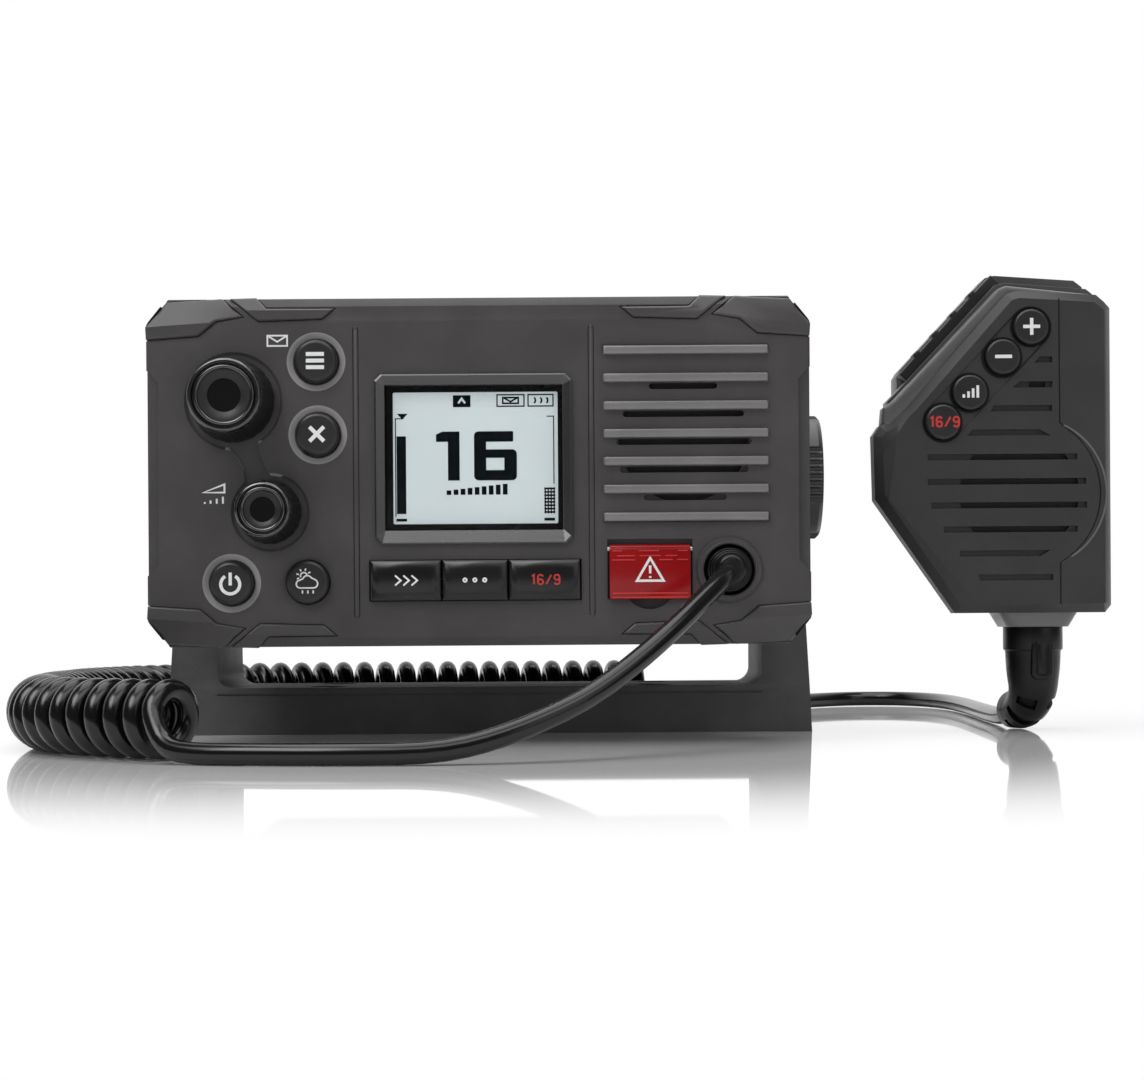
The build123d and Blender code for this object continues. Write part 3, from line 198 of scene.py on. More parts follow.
# ---------------------------------------------------------------- finishes
@dataclass(frozen=True)
class Finish:
    """A moulded, painted or rubber surface."""

    name: str
    colour: Point3
    roughness: float = 0.5
    marks: float = 0.2
    grain_size: float = 0.0006
    grain_depth: float = 0.3
    mottle: float = 0.12
    metallic: float = 0.0
    coat: float = 0.0
    coat_roughness: float = 0.1
    specular: float = 0.5
    alpha: float = 1.0
    glow: float = 0.0
    mottle_stops: Point2 = (0.3, 0.7)
    bump: float = 0.5
    bump_reach: float = 0.0001

    def material(self) -> bpy.types.Material:
        """Builds the material the first time, and returns the same one after that."""
        known = bpy.data.materials.get("finish_" + self.name)
        return known if known else self.build()

    def build(self) -> bpy.types.Material:
        """Builds the material's nodes.

        Returns:
            The new material.
        """
        material = bpy.data.materials.new("finish_" + self.name)
        material.use_nodes = True
        net = Nodes(material.node_tree)
        grain = net.add("ShaderNodeGroup", {"Scale": 1 / self.grain_size, "Depth": self.grain_depth},
                        node_tree=GRAIN)
        wear = net.add("ShaderNodeGroup", {"Base": self.roughness, "Amount": self.marks}, node_tree=WEAR)
        tint = net.add("ShaderNodeValToRGB", {"Fac": grain.outputs["Mottle"]})
        changes = (-self.mottle, self.mottle)
        for stop, place, change in zip(tint.color_ramp.elements, self.mottle_stops, changes):
            stop.position = place
            stop.color = (*(min(1.0, channel * (1 + change)) for channel in self.colour), 1)
        bump = net.add("ShaderNodeBump", {
            "Strength": self.bump, "Distance": self.bump_reach, "Height": grain.outputs["Height"]})
        shader = material.node_tree.nodes["Principled BSDF"]
        net.feed(shader, {
            "Base Color": tint.outputs["Color"], "Roughness": wear.outputs["Roughness"],
            "Normal": bump.outputs["Normal"], "Metallic": self.metallic, "Coat Weight": self.coat,
            "Coat Roughness": self.coat_roughness, "Specular IOR Level": self.specular, "Alpha": self.alpha,
        })
        if self.glow:
            net.feed(shader, {"Emission Color": (*self.colour, 1), "Emission Strength": self.glow})
        return material


CASE = Finish("case_plastic", srgb(66, 64, 65), 0.44, grain_depth=0.35, specular=0.2)
CASE_TRIM = Finish("trim_plastic", srgb(62, 60, 61), 0.4, grain_depth=0.4, specular=0.35)
# Much paler than the case: a painted highlight on the sloped walls of the key moats and of the neck between
# the knobs.
MOAT_HIGHLIGHT = Finish("moat_painted_highlight", srgb(140, 138, 139), 0.34, grain_depth=0.25, specular=0.6)
GROOVE = Finish("groove_dark", srgb(12, 12, 13), 0.6, grain_depth=0.2, specular=0.2)
GRILLE = Finish("grille_plastic", srgb(52, 50, 51), 0.5, grain_depth=0.3, specular=0.3)
# Far paler than the case: a painted highlight for the light that the slats catch.
SLAT_HIGHLIGHT = Finish("slat_painted_highlight", srgb(106, 104, 105), 0.34, grain_depth=0.2, specular=0.6)
BRACKET = Finish("bracket_plastic", srgb(70, 68, 69), 0.55, grain_size=0.0008, grain_depth=0.9, mottle=0.2,
                 specular=0.4)
KNOB_GLOSS = Finish("knob_gloss", srgb(12, 12, 13), 0.2, marks=0.08, grain_depth=0.05, specular=1.0)
KNOB_BAND = Finish("knob_band", srgb(30, 30, 31), 0.42, grain_depth=0.3, specular=0.3)
KNOB_MATT = Finish("knob_matt", srgb(6, 6, 6), 0.6, grain_depth=0.3, specular=0.1)
KNOB_SKIRT = Finish("knob_skirt", srgb(10, 10, 10), 0.45, grain_depth=0.3, specular=0.3)
KNOB_SOFT = Finish("knob_soft", srgb(52, 52, 53), 0.36, marks=0.1, grain_depth=0.15, specular=0.5)
KEY_RUBBER = Finish("key_silicone", srgb(30, 30, 31), 0.38, grain_depth=0.25, specular=0.4)
KEY_GLOSS = Finish("key_gloss", srgb(17, 17, 18), 0.28, grain_depth=0.1, specular=0.4)
SIGN_WHITE = Finish("sign_white", srgb(216, 217, 217), 0.5, marks=0.05, grain_depth=0.05, mottle=0.02)
SIGN_RED = Finish("sign_red", srgb(176, 40, 36), 0.5, marks=0.05, grain_depth=0.05, mottle=0.02)
FLAP_RED = Finish("flap_red", srgb(134, 10, 14), 0.2, marks=0.05, grain_depth=0.05, coat=0.05, specular=0.25)
FLAP_LINE = Finish("flap_line", srgb(186, 40, 40), 0.25, marks=0.05, grain_depth=0.05, coat=0.5)
KEY_RED = Finish("distress_red", srgb(190, 24, 24), 0.5)
SCREEN_FRAME = Finish("screen_frame", srgb(34, 33, 34), 0.26, grain_depth=0.1, specular=0.9)
SCREEN_MASK = Finish("screen_mask", srgb(8, 9, 10), 0.25, grain_depth=0.05, specular=0.3)
GLASS = Finish("screen_glass", srgb(8, 9, 10), 0.05, marks=0.02, grain_depth=0.0, alpha=0.05)
LCD_PALE = Finish("lcd_pale", srgb(208, 219, 221), 0.6, marks=0.05, grain_depth=0.02, mottle=0.02,
                  glow=0.14, specular=0.1)
LCD_INK = Finish("lcd_ink", srgb(10, 17, 20), 0.6, marks=0.02, grain_depth=0.02, mottle=0.02, specular=0.05)
CORD = Finish("cord_rubber", srgb(12, 12, 12), 0.19, marks=0.06, grain_size=0.001, grain_depth=0.03,
              specular=0.36)
RELIEF = Finish("relief_rubber", srgb(9, 9, 9), 0.3, marks=0.1, grain_depth=0.15, specular=0.28)
MIC_PLASTIC = Finish("mic_plastic", srgb(52, 51, 52), 0.42, grain_depth=0.3, specular=0.25)
MIC_EDGE = Finish("mic_edge", srgb(74, 73, 74), 0.34, grain_depth=0.15, specular=0.6)
MIC_REAR = Finish("mic_rear_plastic", srgb(60, 59, 60), 0.36, grain_depth=0.25, specular=0.5)
MIC_COLLAR = Finish("mic_collar_plastic", srgb(92, 91, 92), 0.3, grain_depth=0.15, specular=0.6)
MIC_RIDGE = Finish("mic_ridge", srgb(90, 89, 90), 0.36, grain_depth=0.2)
MIC_RUBBER = Finish("mic_rubber", srgb(24, 24, 25), 0.45, grain_depth=0.3, specular=0.3)
CHASSIS = Finish("die_cast_paint", srgb(40, 40, 42), 0.5, specular=0.3, grain_size=0.001, grain_depth=0.9,
                 mottle=0.2)
STEEL = Finish("stainless", srgb(190, 190, 192), 0.3, metallic=1.0, grain_depth=0.15)
BRASS = Finish("turned_brass", srgb(196, 160, 90), 0.3, metallic=1.0, grain_depth=0.15)
BOARD = Finish("circuit_board", srgb(24, 84, 48), 0.4, grain_depth=0.2)
CONE = Finish("speaker_parts", srgb(28, 28, 29), 0.7, grain_depth=0.6)
NYLON = Finish("washer_nylon", srgb(24, 24, 25), 0.45, grain_depth=0.2)


# ---------------------------------------------------------------- places
@dataclass(frozen=True)
class Panel:
    """A flat front that looks towards -Y. Places on it are in millimetres, as (x, z, proud)."""

    origin: Vector

    def point(self, x: float, z: float, proud: float = 0.0) -> Vector:
        """Returns the place in the row frame, in metres."""
        return self.origin + Vector((x, -proud, z)) * MM

    def matrix(self, at: Point2, proud: float = 0.0) -> Matrix:
        """Returns the matrix that takes local x, y, z to right, up and out of the panel."""
        turn = Matrix(((1, 0, 0), (0, 0, -1), (0, 1, 0))).to_4x4()
        return Matrix.Translation(self.point(at[0], at[1], proud)) @ turn @ Matrix.Scale(MM, 4)


def face_panel() -> Panel:
    """Returns the radio's face, from the front case's own box."""
    low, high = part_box("front_case")
    return Panel(Vector(((low.x + high.x) / 2, low.y, (low.z + high.z) / 2)))


def microphone_panel(corner: Point2 = (32.0, -0.6)) -> Panel:
    """Returns the microphone's front.

    Args:
        corner: The panel's own zero, from the front cover's lower left corner.
    """
    low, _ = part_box("mic_front_cover")
    return Panel(low + Vector((corner[0], 0, corner[1])) * MM)


FACE = face_panel()
MIC = microphone_panel()


# ---------------------------------------------------------------- outlines
def arc(centre: Point2, radius: float, start: float, end: float, steps: int = 8) -> list[Point2]:
    """Returns points on an arc.

    Args:
        centre: Middle of the arc.
        radius: Its radius.
        start: First angle, in degrees.
        end: Last angle, in degrees.
        steps: Number of spans.
    """
    turns = [radians(start + (end - start) * step / steps) for step in range(steps + 1)]
    return [(centre[0] + radius * cos(turn), centre[1] + radius * sin(turn)) for turn in turns]


def rounded_box(left: float, right: float, bottom: float, top: float, radius: float) -> list[Point2]:
    """Returns a rectangle's outline with round corners, anticlockwise."""
    corners = ((right, top, 0), (left, top, 90), (left, bottom, 180), (right, bottom, 270))
    points: list[Point2] = []
    for x, z, start in corners:
        middle = (x - radius if x == right else x + radius, z - radius if z == top else z + radius)
        points += arc(middle, radius, start, start + 90, 5)
    return points


def disc(centre: Point2, radius: float, steps: int = 48) -> list[Point2]:
    """Returns a circle's outline, anticlockwise."""
    return arc(centre, radius, 0, 360 * (steps - 1) / steps, steps - 1)


# ---------------------------------------------------------------- mesh pieces
Faces = list[bmesh.types.BMFace]


class Piece:
    """One piece in the making: a bmesh in metres, with its finishes."""

    def __init__(self, name: str, *finishes: Finish, node: str = "") -> None:
        """Starts an empty piece.

        Args:
            name: Its name.
            *finishes: Its finishes, by material index.
            node: The CAD node that it stands for, if any.
        """
        self.name = name
        self.finishes = finishes
        self.node = node
        self.mesh = bmesh.new()

    def plate(self, outline: list[Point2], place: Matrix, low: float, high: float,
              bevel: float = 0.0, segments: int = 2, finish: int = 0) -> Faces:
        """Adds a plate with a beveled front edge.

        Args:
            outline: Its outline in local x and y, anticlockwise.
            place: Matrix of its plane.
            low: Where its back lies along local z.
            high: Where its front lies.
            bevel: Width of the bevel along its front edge.
            segments: Bevel segments.
            finish: Index of its finish.

        Returns:
            The new faces.
        """
        before = set(self.mesh.faces)
        corners = [self.mesh.verts.new((x, y, low)) for x, y in outline]
        back = self.mesh.faces.new(corners)
        grown = bmesh.ops.extrude_face_region(self.mesh, geom=[back], use_keep_orig=True)["geom"]
        front_verts = [item for item in grown if isinstance(item, bmesh.types.BMVert)]
        bmesh.ops.translate(self.mesh, verts=front_verts, vec=(0, 0, high - low))
        back.normal_flip()
        if bevel:
            front = next(item for item in grown if isinstance(item, bmesh.types.BMFace))
            bmesh.ops.bevel(self.mesh, geom=list(front.edges), offset=bevel, offset_type="OFFSET",
                            affect="EDGES", segments=segments, profile=0.5, material=-1)
        fresh = [one for one in self.mesh.faces if one not in before]
        return self.settle(fresh, place, finish)

    def ribbon(self, line: list[Point2], width: float, place: Matrix, low: float, high: float,
               closed: bool = False, finish: int = 0) -> Faces:
        """Adds a flat stroke along a line.

        Args:
            line: The stroke's middle line.
            width: Its width.
            place: Matrix of its plane.
            low: Where its back lies along local z.
            high: Where its front lies.
            closed: Whether the line runs back to its start.
            finish: Index of its finish.

        Returns:
            The new faces.
        """
        before = set(self.mesh.faces)
        count = len(line)
        pairs = []
        for step, (x, y) in enumerate(line):
            last = line[step - 1] if closed or step else line[step]
            following = line[(step + 1) % count] if closed or step < count - 1 else line[step]
            inward = Vector((x - last[0], y - last[1])).normalized()
            outward = Vector((following[0] - x, following[1] - y)).normalized()
            heading = (inward + outward).normalized()
            stretch = max(0.5, heading.dot(outward if outward.length else inward))
            side = Vector((-heading.y, heading.x)) * width / 2 / stretch
            pairs.append((self.mesh.verts.new((x + side.x, y + side.y, low)),
                          self.mesh.verts.new((x - side.x, y - side.y, low))))
        spans = list(zip(pairs, pairs[1:] + pairs[:1] if closed else pairs[1:]))
        strip = [self.mesh.faces.new((one[0], one[1], two[1], two[0])) for one, two in spans]
        grown = bmesh.ops.extrude_face_region(self.mesh, geom=strip, use_keep_orig=True)["geom"]
        front = [item for item in grown if isinstance(item, bmesh.types.BMVert)]
        bmesh.ops.translate(self.mesh, verts=front, vec=(0, 0, high - low))
        fresh = [one for one in self.mesh.faces if one not in before]
        bmesh.ops.recalc_face_normals(self.mesh, faces=fresh)
        return self.settle(fresh, place, finish)

    def lathe(self, profile: list[Point2], place: Matrix, steps: int = 72, finish: int = 0) -> Faces:
        """Adds a turned form.

        Args:
            profile: Points as (radius, height along local z), from one pole or rim to the other.
            place: Matrix of its plane.
            steps: Number of facets round the axis.
            finish: Index of its finish.

        Returns:
            The new faces.
        """
        before = set(self.mesh.faces)
        points = [self.mesh.verts.new((radius, 0, height)) for radius, height in profile]
        edges = [self.mesh.edges.new(pair) for pair in zip(points, points[1:])]
        bmesh.ops.spin(self.mesh, geom=points + edges, cent=(0, 0, 0), axis=(0, 0, 1), angle=tau,
                       steps=steps, use_merge=True)
        fresh = [one for one in self.mesh.faces if one not in before]
        verts = list({vert for one in fresh for vert in one.verts})
        bmesh.ops.remove_doubles(self.mesh, verts=verts, dist=1e-4)
        fresh = [one for one in self.mesh.faces if one not in before]
        bmesh.ops.recalc_face_normals(self.mesh, faces=fresh)
        return self.settle(fresh, place, finish)

    def settle(self, faces: Faces, place: Matrix, finish: int) -> Faces:
        """Moves new faces from their plane into the row frame and gives them their finish."""
        verts = list({vert for one in faces for vert in one.verts})
        bmesh.ops.transform(self.mesh, matrix=place, verts=verts)
        for one in faces:
            one.material_index = finish
        return faces

    def done(self, body: str = "", slot: str = "", smooth: float = 35) -> None:
        """Turns the bmesh into an object that rides on a body.

        Args:
            body: The CAD body it moves with, if not its node's.
            slot: The record's material slot, if not its node's; it is not used.
            smooth: Edges sharper than this angle, in degrees, stay sharp.
        """
        mesh = bpy.data.meshes.new(self.name)
        for edge in self.mesh.edges:
            edge.smooth = len(edge.link_faces) == 2 and edge.calc_face_angle(pi) < radians(smooth)
        for one in self.mesh.faces:
            one.smooth = True
        self.mesh.to_mesh(mesh)
        self.mesh.free()
        for finish in self.finishes:
            mesh.materials.append(finish.material())
        piece = bpy.data.objects.new(self.name, mesh)
        bpy.context.scene.collection.objects.link(piece)
        body = body or body_of(self.node)
        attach(piece, body)
        slot or slot_of(self.node)
        if self.node:
            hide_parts(self.node)
        LOG.info("%s: %d faces on %s", self.name, len(mesh.polygons), body)


def body_of(node: str) -> str:
    """Returns the body that a CAD node belongs to."""
    return next(name for name, members in frame["record"]["behaviour"]["bodies"].items() if node in members)


def slot_of(node: str) -> str:
    """Returns the record's material slot of a CAD node."""
    return next(part["material_slot"] for part in frame["record"]["subparts"] if part["node"] == node)


def softened(node: str, *finishes: Finish, width: float = 0.4, segments: int = 2, sharp: float = 25,
             pick: Callable[[Vector], bool] | None = None) -> Piece:
    """Copies a CAD node into a piece whose edges are rounded.

    Args:
        node: The CAD node.
        *finishes: The finishes of the new piece.
        width: Width of the rounding, in millimetres.
        segments: Segments of the rounding.
        sharp: Edges sharper than this angle, in degrees, are rounded.
        pick: Tells by an edge's middle whether it is rounded at all.

    Returns:
        The piece, not finished yet.
    """
    piece = Piece(node + "_shell", *finishes, node=node)
    piece.mesh.from_mesh(frame["nodes"][node].data)
    bmesh.ops.remove_doubles(piece.mesh, verts=piece.mesh.verts, dist=2e-6)
    bmesh.ops.dissolve_limit(piece.mesh, angle_limit=radians(0.6), verts=piece.mesh.verts,
                             edges=piece.mesh.edges, use_dissolve_boundaries=False, delimit=set())
    edges = [edge for edge in piece.mesh.edges
             if len(edge.link_faces) == 2 and edge.calc_face_angle(0) > radians(sharp)
             and (pick is None or pick((edge.verts[0].co + edge.verts[1].co) / 2))]
    bmesh.ops.bevel(piece.mesh, geom=edges, offset=width * MM, offset_type="OFFSET", affect="EDGES",
                    segments=segments, profile=0.5, material=-1, clamp_overlap=True)
    for one in piece.mesh.faces:
        one.material_index = 0
    return piece


# ---------------------------------------------------------------- the cord
Route = tuple[tuple[float, ...], ...]


def spline(name: str, points: list[Vector], radius: float = 0.0, resolution: int = 4) -> bpy.types.Object:
    """Builds an open NURBS curve through its control points' hull.

    Args:
        name: Name of the curve.
        points: Its control points, in metres.
        radius: Radius of its tube, or 0 for the bare line.
        resolution: Points for each control point.

    Returns:
        The curve's object, in the scene.
    """
    curve = bpy.data.curves.new(name, "CURVE")
    curve.dimensions = "3D"
    curve.resolution_u = resolution
    line = curve.splines.new("NURBS")
    line.points.add(len(points) - 1)
    for knot, place in zip(line.points, points):
        knot.co = (*place, 1)
    line.order_u = 3
    line.use_endpoint_u = True
    if radius:
        curve.bevel_depth = radius
        curve.bevel_resolution = 5
        curve.use_fill_caps = True
    holder = bpy.data.objects.new(name, curve)
    bpy.context.scene.collection.objects.link(holder)
    return holder


def baked(holder: bpy.types.Object) -> bpy.types.Mesh:
    """Returns a curve's mesh and removes the curve."""
    graph = bpy.context.evaluated_depsgraph_get()
    mesh = bpy.data.meshes.new_from_object(holder.evaluated_get(graph))
    bpy.data.objects.remove(holder)
    return mesh


def line_points(name: str, points: list[Vector], resolution: int = 4) -> list[Vector]:
    """Returns points along the NURBS curve that the control points give."""
    mesh = baked(spline(name, points, resolution=resolution))
    places = [vert.co.copy() for vert in mesh.vertices]
    bpy.data.meshes.remove(mesh)
    return places


class Track:
    """A line that gives its place and heading at any length along it."""

    def __init__(self, places: list[Vector]) -> None:
        """Measures the line."""
        self.places = places
        self.marks = [0.0]
        for start, end in zip(places, places[1:]):
            self.marks.append(self.marks[-1] + (end - start).length)

    @property
    def length(self) -> float:
        """The line's whole length."""
        return self.marks[-1]

    def at(self, along: float) -> tuple[Vector, Vector]:
        """Returns the place and the heading at a length along the line."""
        along = min(max(along, 0.0), self.length)
        step = next((i for i, mark in enumerate(self.marks[1:]) if mark >= along), len(self.marks) - 2)
        start, end = self.places[step], self.places[step + 1]
        share = (along - self.marks[step]) / max(self.marks[step + 1] - self.marks[step], 1e-9)
        before = self.places[max(step - 1, 0)]
        after = self.places[min(step + 2, len(self.places) - 1)]
        return start.lerp(end, share), (after - before).normalized()


@dataclass
class CurlyCord:
    """The microphone's cord: a plain rear lead, the curly stretch and a plain lead to the gland.

    It is two tubes that meet end to end in the middle of the first straight leg after the coil.
    """

    radius: float = 2.45
    helix_radius: float = 6.8
    coil_height: float = 9.25
    turns: int = 54
    end_share: float = 0.75
    steps: int = 14
    resolution: int = 3
    axis_resolution: int = 12
    ramp: float = 0.7
    joint_at: int = 4
    hold_at: int = 7
    coil: Route = (
        (43, 62), (-10, 62.6), (-62, 61), (-96, 46), (-112, 12), (-114, -34), (-110, -80), (-97, -117),
        (-66, -139),
    )
    front: Route = (
        (-66, -139, 2.6), (-67.2, -147.3, 4.2), (-62, -151.5, 2.4), (-48, -156.5, 2.5), (-25, -160, 2.5),
        (-6, -159, 2.6), (7, -155.5, 5.6), (20, -150, 10.8), (28.6, -143, 15.4), (37.6, -135, 21.9),
        (46.3, -126, 29.2), (52.7, -116.8, 35.3), (59.5, -107.5, 41.3), (60.9, -99.4, 42.8),
    )
    rear: Route = (
        (144.6, -15, 5), (143.8, -7.5, 3.2), (143.9, 6, 2.6), (145.6, 40, 2.6), (148.4, 86, 2.6),
        (147.8, 122, 2.6), (139, 147, 2.6), (121, 152, 2.6), (104, 136, 2.6), (88, 113, 2.6), (74, 90, 2.6),
        (62, 74, 2.6), (43, 63, 2.6),
    )

    def advance(self, turn: float) -> float:
        """Returns how far along the coil a turn lies, from 0 to 1, with flatter first and last turns.

        Args:
            turn: Turns from the coil's start.
        """
        def run(value: float) -> float:
            """Length gained while the pitch grows from nothing."""
            return value * value / (2 * self.ramp) if value < self.ramp else value - self.ramp / 2

        whole = self.turns - self.ramp
        return run(turn) / whole if turn <= self.turns / 2 else 1 - run(self.turns - turn) / whole

    def helix(self) -> list[Vector]:
        """Returns the control points of the curly stretch, both ends at the bottom."""
        axis = [Vector((x, y, self.coil_height)) * MM for x, y in self.coil]
        track = Track(line_points("coil_axis", axis, self.axis_resolution))
        points = []
        for step in range(round((self.turns - 1 + self.end_share) * self.steps) + 1):
            turn = step / self.steps
            middle, heading = track.at(self.advance(turn) * track.length)
            side = Vector((0, 0, -1)).cross(heading).normalized() * -1
            angle = tau * turn
            points.append(middle + (Vector((0, 0, -cos(angle))) + side * sin(angle)) * self.helix_radius * MM)
        return points

    def tube(self, name: str, route: list[Vector]) -> tuple[bpy.types.Object, list[Vector]]:
        """Builds and dresses one tube of the cord.

        Args:
            name: Name of the tube.
            route: The control points of its centre line.

        Returns:
            Its mesh and the points that it follows.
        """
        path = line_points(name + "_line", route, self.resolution)
        mesh = baked(spline(name + "_tube", route, self.radius * MM, self.resolution))
        mesh.name = name
        mesh.materials.clear()
        mesh.materials.append(CORD.material())
        for one in mesh.polygons:
            one.use_smooth = True
            one.material_index = 0
        cord = bpy.data.objects.new(name, mesh)
        bpy.context.scene.collection.objects.link(cord)
        return cord, path

    def declare(self, cord: bpy.types.Object, path: list[Vector], exit_at: Vector, **facts: object) -> None:
        """Logs a tube's length and number of faces.

        Args:
            cord: The tube.
            path: The points that it follows.
            exit_at: Where it leaves the radio or the other tube; it is not used.
            **facts: How it lies and the pieces on it; they are not used.
        """
        length = Track(path).length
        LOG.info("%s: %.3f m, %d faces", cord.name, length, len(cord.data.polygons))
        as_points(path)

    def build(self) -> None:
        """Builds the front lead and the rest, which lies still."""
        front = [Vector(place) * MM for place in self.front]
        joint = (front[self.joint_at] + front[self.joint_at + 1]) / 2
        rear = [Vector(place) * MM for place in self.rear[:-1]] + self.helix() + front[1:self.joint_at + 1]
        lead, lead_path = self.tube("microphone_cord_lead", [joint, *front[self.joint_at + 1:]])
        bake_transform(lead)
        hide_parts("cord_front_lead")
        self.declare(lead, lead_path, front[-1])
        coil, coil_path = self.tube("microphone_cord", [*rear, joint])
        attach(coil, "bracket")
        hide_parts("curly_cord", "cord_rear_lead")
        self.declare(coil, coil_path, joint, lay="coiled", with_pieces=["strain_relief_moulded"])


# ---------------------------------------------------------------- studio
@dataclass
class Studio:
    """Floor, surround, lamps and camera. The camera's place is in millimetres."""

    eye: Point3 = (22.0, -640.5, 30.8)
    lens: float = 71.1
    sensor: float = 36
    shift: Point2 = (0.0017, 0.0699)
    roll: float = -0.4
    nearest: float = 0.01
    floor_size: float = 12.0
    floor_colour: tuple[float, ...] = (0.93, 0.93, 0.93, 1)
    floor_roughness: float = 0.6
    floor_glow: float = 0.06
    floor_fade: Point2 = (0.17, 0.33)
    mirror: float = 0.74
    mirror_roughness: float = 0.03
    mirror_from: Point2 = (-0.9, -0.5)
    world_light: float = 0.26
    front_light: float = 0.1
    glossy_back: Point2 = (0.25, 0.7)
    zenith: float = 0.25
    strip_light: float = 3.4
    strip_stops: tuple[Point2, ...] = ((0.64, 0.0), (0.71, 1.0), (0.86, 1.0), (0.93, 0.25))
    strip_front: Point2 = (-0.3, 0.1)
    lamps: tuple[tuple[str, Point3, Point3, float, float, bool], ...] = (
        ("key_lamp", (-0.5, -0.7, 0.9), (0.02, 0, 0.05), 0.6, 6.0, True),
        ("fill_lamp", (0.9, -0.8, 0.5), (0.02, 0, 0.06), 0.8, 1.9, True),
        ("low_lamp", (-0.1, -1.0, 0.12), (0.0, 0, 0.02), 0.5, 1.3, False),
        ("top_lamp", (0.0, 0.1, 1.1), (0.02, 0, 0.05), 0.9, 8.0, True),
    )  # name, place, aim, side, watts, and whether glossy surfaces mirror it

    def floor(self) -> None:
        """Lays the pale floor, which mirrors towards the front and fades to white."""
        grid = bmesh.new()
        bmesh.ops.create_grid(grid, x_segments=2, y_segments=2, size=self.floor_size / 2)
        mesh = bpy.data.meshes.new("studio_floor")
        grid.to_mesh(mesh)
        grid.free()
        material = bpy.data.materials.new("studio_floor")
        material.use_nodes = True
        net = Nodes(material.node_tree)
        plain = material.node_tree.nodes["Principled BSDF"]
        net.feed(plain, {
            "Base Color": self.floor_colour, "Roughness": self.floor_roughness, "Specular IOR Level": 0.0,
            "Emission Color": WHITE, "Emission Strength": self.floor_glow,
        })
        gloss = net.add("ShaderNodeBsdfGlossy", {"Color": WHITE, "Roughness": self.mirror_roughness})
        toward = net.add("ShaderNodeSeparateXYZ", {0: net.add("ShaderNodeNewGeometry").outputs["Incoming"]})
        facing = net.span(toward.outputs["Y"], self.mirror_from, (self.mirror, 0.0))
        polished = net.add("ShaderNodeMixShader", {
            "Fac": facing, 1: plain.outputs["BSDF"], 2: gloss.outputs["BSDF"]})
        place = net.add("ShaderNodeTexCoord").outputs["Object"]
        reach = net.add("ShaderNodeVectorMath", {0: place}, operation="LENGTH").outputs["Value"]
        seen = net.add("ShaderNodeLightPath").outputs["Is Camera Ray"]
        share = net.math("MULTIPLY", net.span(reach, self.floor_fade), seen)
        white = net.add("ShaderNodeEmission").outputs["Emission"]
        both = net.add("ShaderNodeMixShader", {"Fac": share, 1: polished.outputs["Shader"], 2: white})
        net.feed(material.node_tree.nodes["Material Output"], {"Surface": both.outputs["Shader"]})
        mesh.materials.append(material)
        floor = bpy.data.objects.new("studio_floor", mesh)
        bpy.context.scene.collection.objects.link(floor)

    def world(self) -> None:
        """Sets a white surround, of which gloss mirrors a dark front with a bright strip and a white back."""
        world = bpy.data.worlds.new("studio_world")
        bpy.context.scene.world = world
        world.use_nodes = True
        net = Nodes(world.node_tree)
        place = net.add("ShaderNodeTexCoord").outputs["Generated"]
        axes = net.add("ShaderNodeSeparateXYZ", {0: place}).outputs
        strip = net.add("ShaderNodeValToRGB", {"Fac": axes["Z"]})
        strip.color_ramp.elements[0].color = (0, 0, 0, 1)
        strip.color_ramp.elements[1].color = (*[self.zenith] * 3, 1)
        for height, level in self.strip_stops:
            strip.color_ramp.elements.new(height).color = (*[level] * 3, 1)
        front = net.span(axes["Y"], self.strip_front, (self.strip_light, 0.0))
        back = net.span(axes["Y"], self.glossy_back, (self.front_light, 1.0))
        mirrored = net.math("MAXIMUM", back, net.math("MULTIPLY", strip.outputs["Color"], front))
        rays = net.add("ShaderNodeLightPath").outputs
        level = net.add("ShaderNodeMapRange", {
            "Value": rays["Is Glossy Ray"], "To Min": self.world_light, "To Max": mirrored})
        seen = net.math("MAXIMUM", rays["Is Camera Ray"], rays["Is Transmission Ray"])
        strength = net.math("MAXIMUM", level.outputs["Result"], seen)
        net.feed(world.node_tree.nodes["Background"], {"Color": WHITE, "Strength": strength})

    def hang_lamps(self) -> None:
        """Hangs the soft square lamps."""
        for name, place, aim, size, power, mirrored in self.lamps:
            light = bpy.data.lights.new(name, "AREA")
            light.size = size
            light.energy = power
            holder = bpy.data.objects.new(name, light)
            bpy.context.scene.collection.objects.link(holder)
            holder.location = place
            holder.rotation_euler = (Vector(aim) - Vector(place)).to_track_quat("-Z", "Y").to_euler()
            holder.visible_glossy = mirrored

    def camera(self) -> None:
        """Places the camera."""
        lens = bpy.data.cameras.new("camera")
        lens.sensor_width = self.sensor
        lens.lens = self.lens
        lens.shift_x, lens.shift_y = self.shift
        lens.clip_start = self.nearest
        holder = bpy.data.objects.new("camera", lens)
        bpy.context.scene.collection.objects.link(holder)
        look = Matrix.Rotation(pi / 2, 4, "X") @ Matrix.Rotation(radians(self.roll), 4, "Z")
        holder.matrix_world = Matrix.Translation(Vector(self.eye) * MM) @ look
        bpy.context.scene.camera = holder

    def build(self) -> None:
        """Builds the whole studio."""
        bpy.context.scene.view_settings.view_transform = "Standard"
        self.floor()
        self.world()
        self.hang_lamps()
        self.camera()


# ---------------------------------------------------------------- housing
QUADRANTS: tuple[tuple[int, int], ...] = ((-1, -1), (-1, 1), (1, -1), (1, 1))
SIGN_LIFT = 0.05


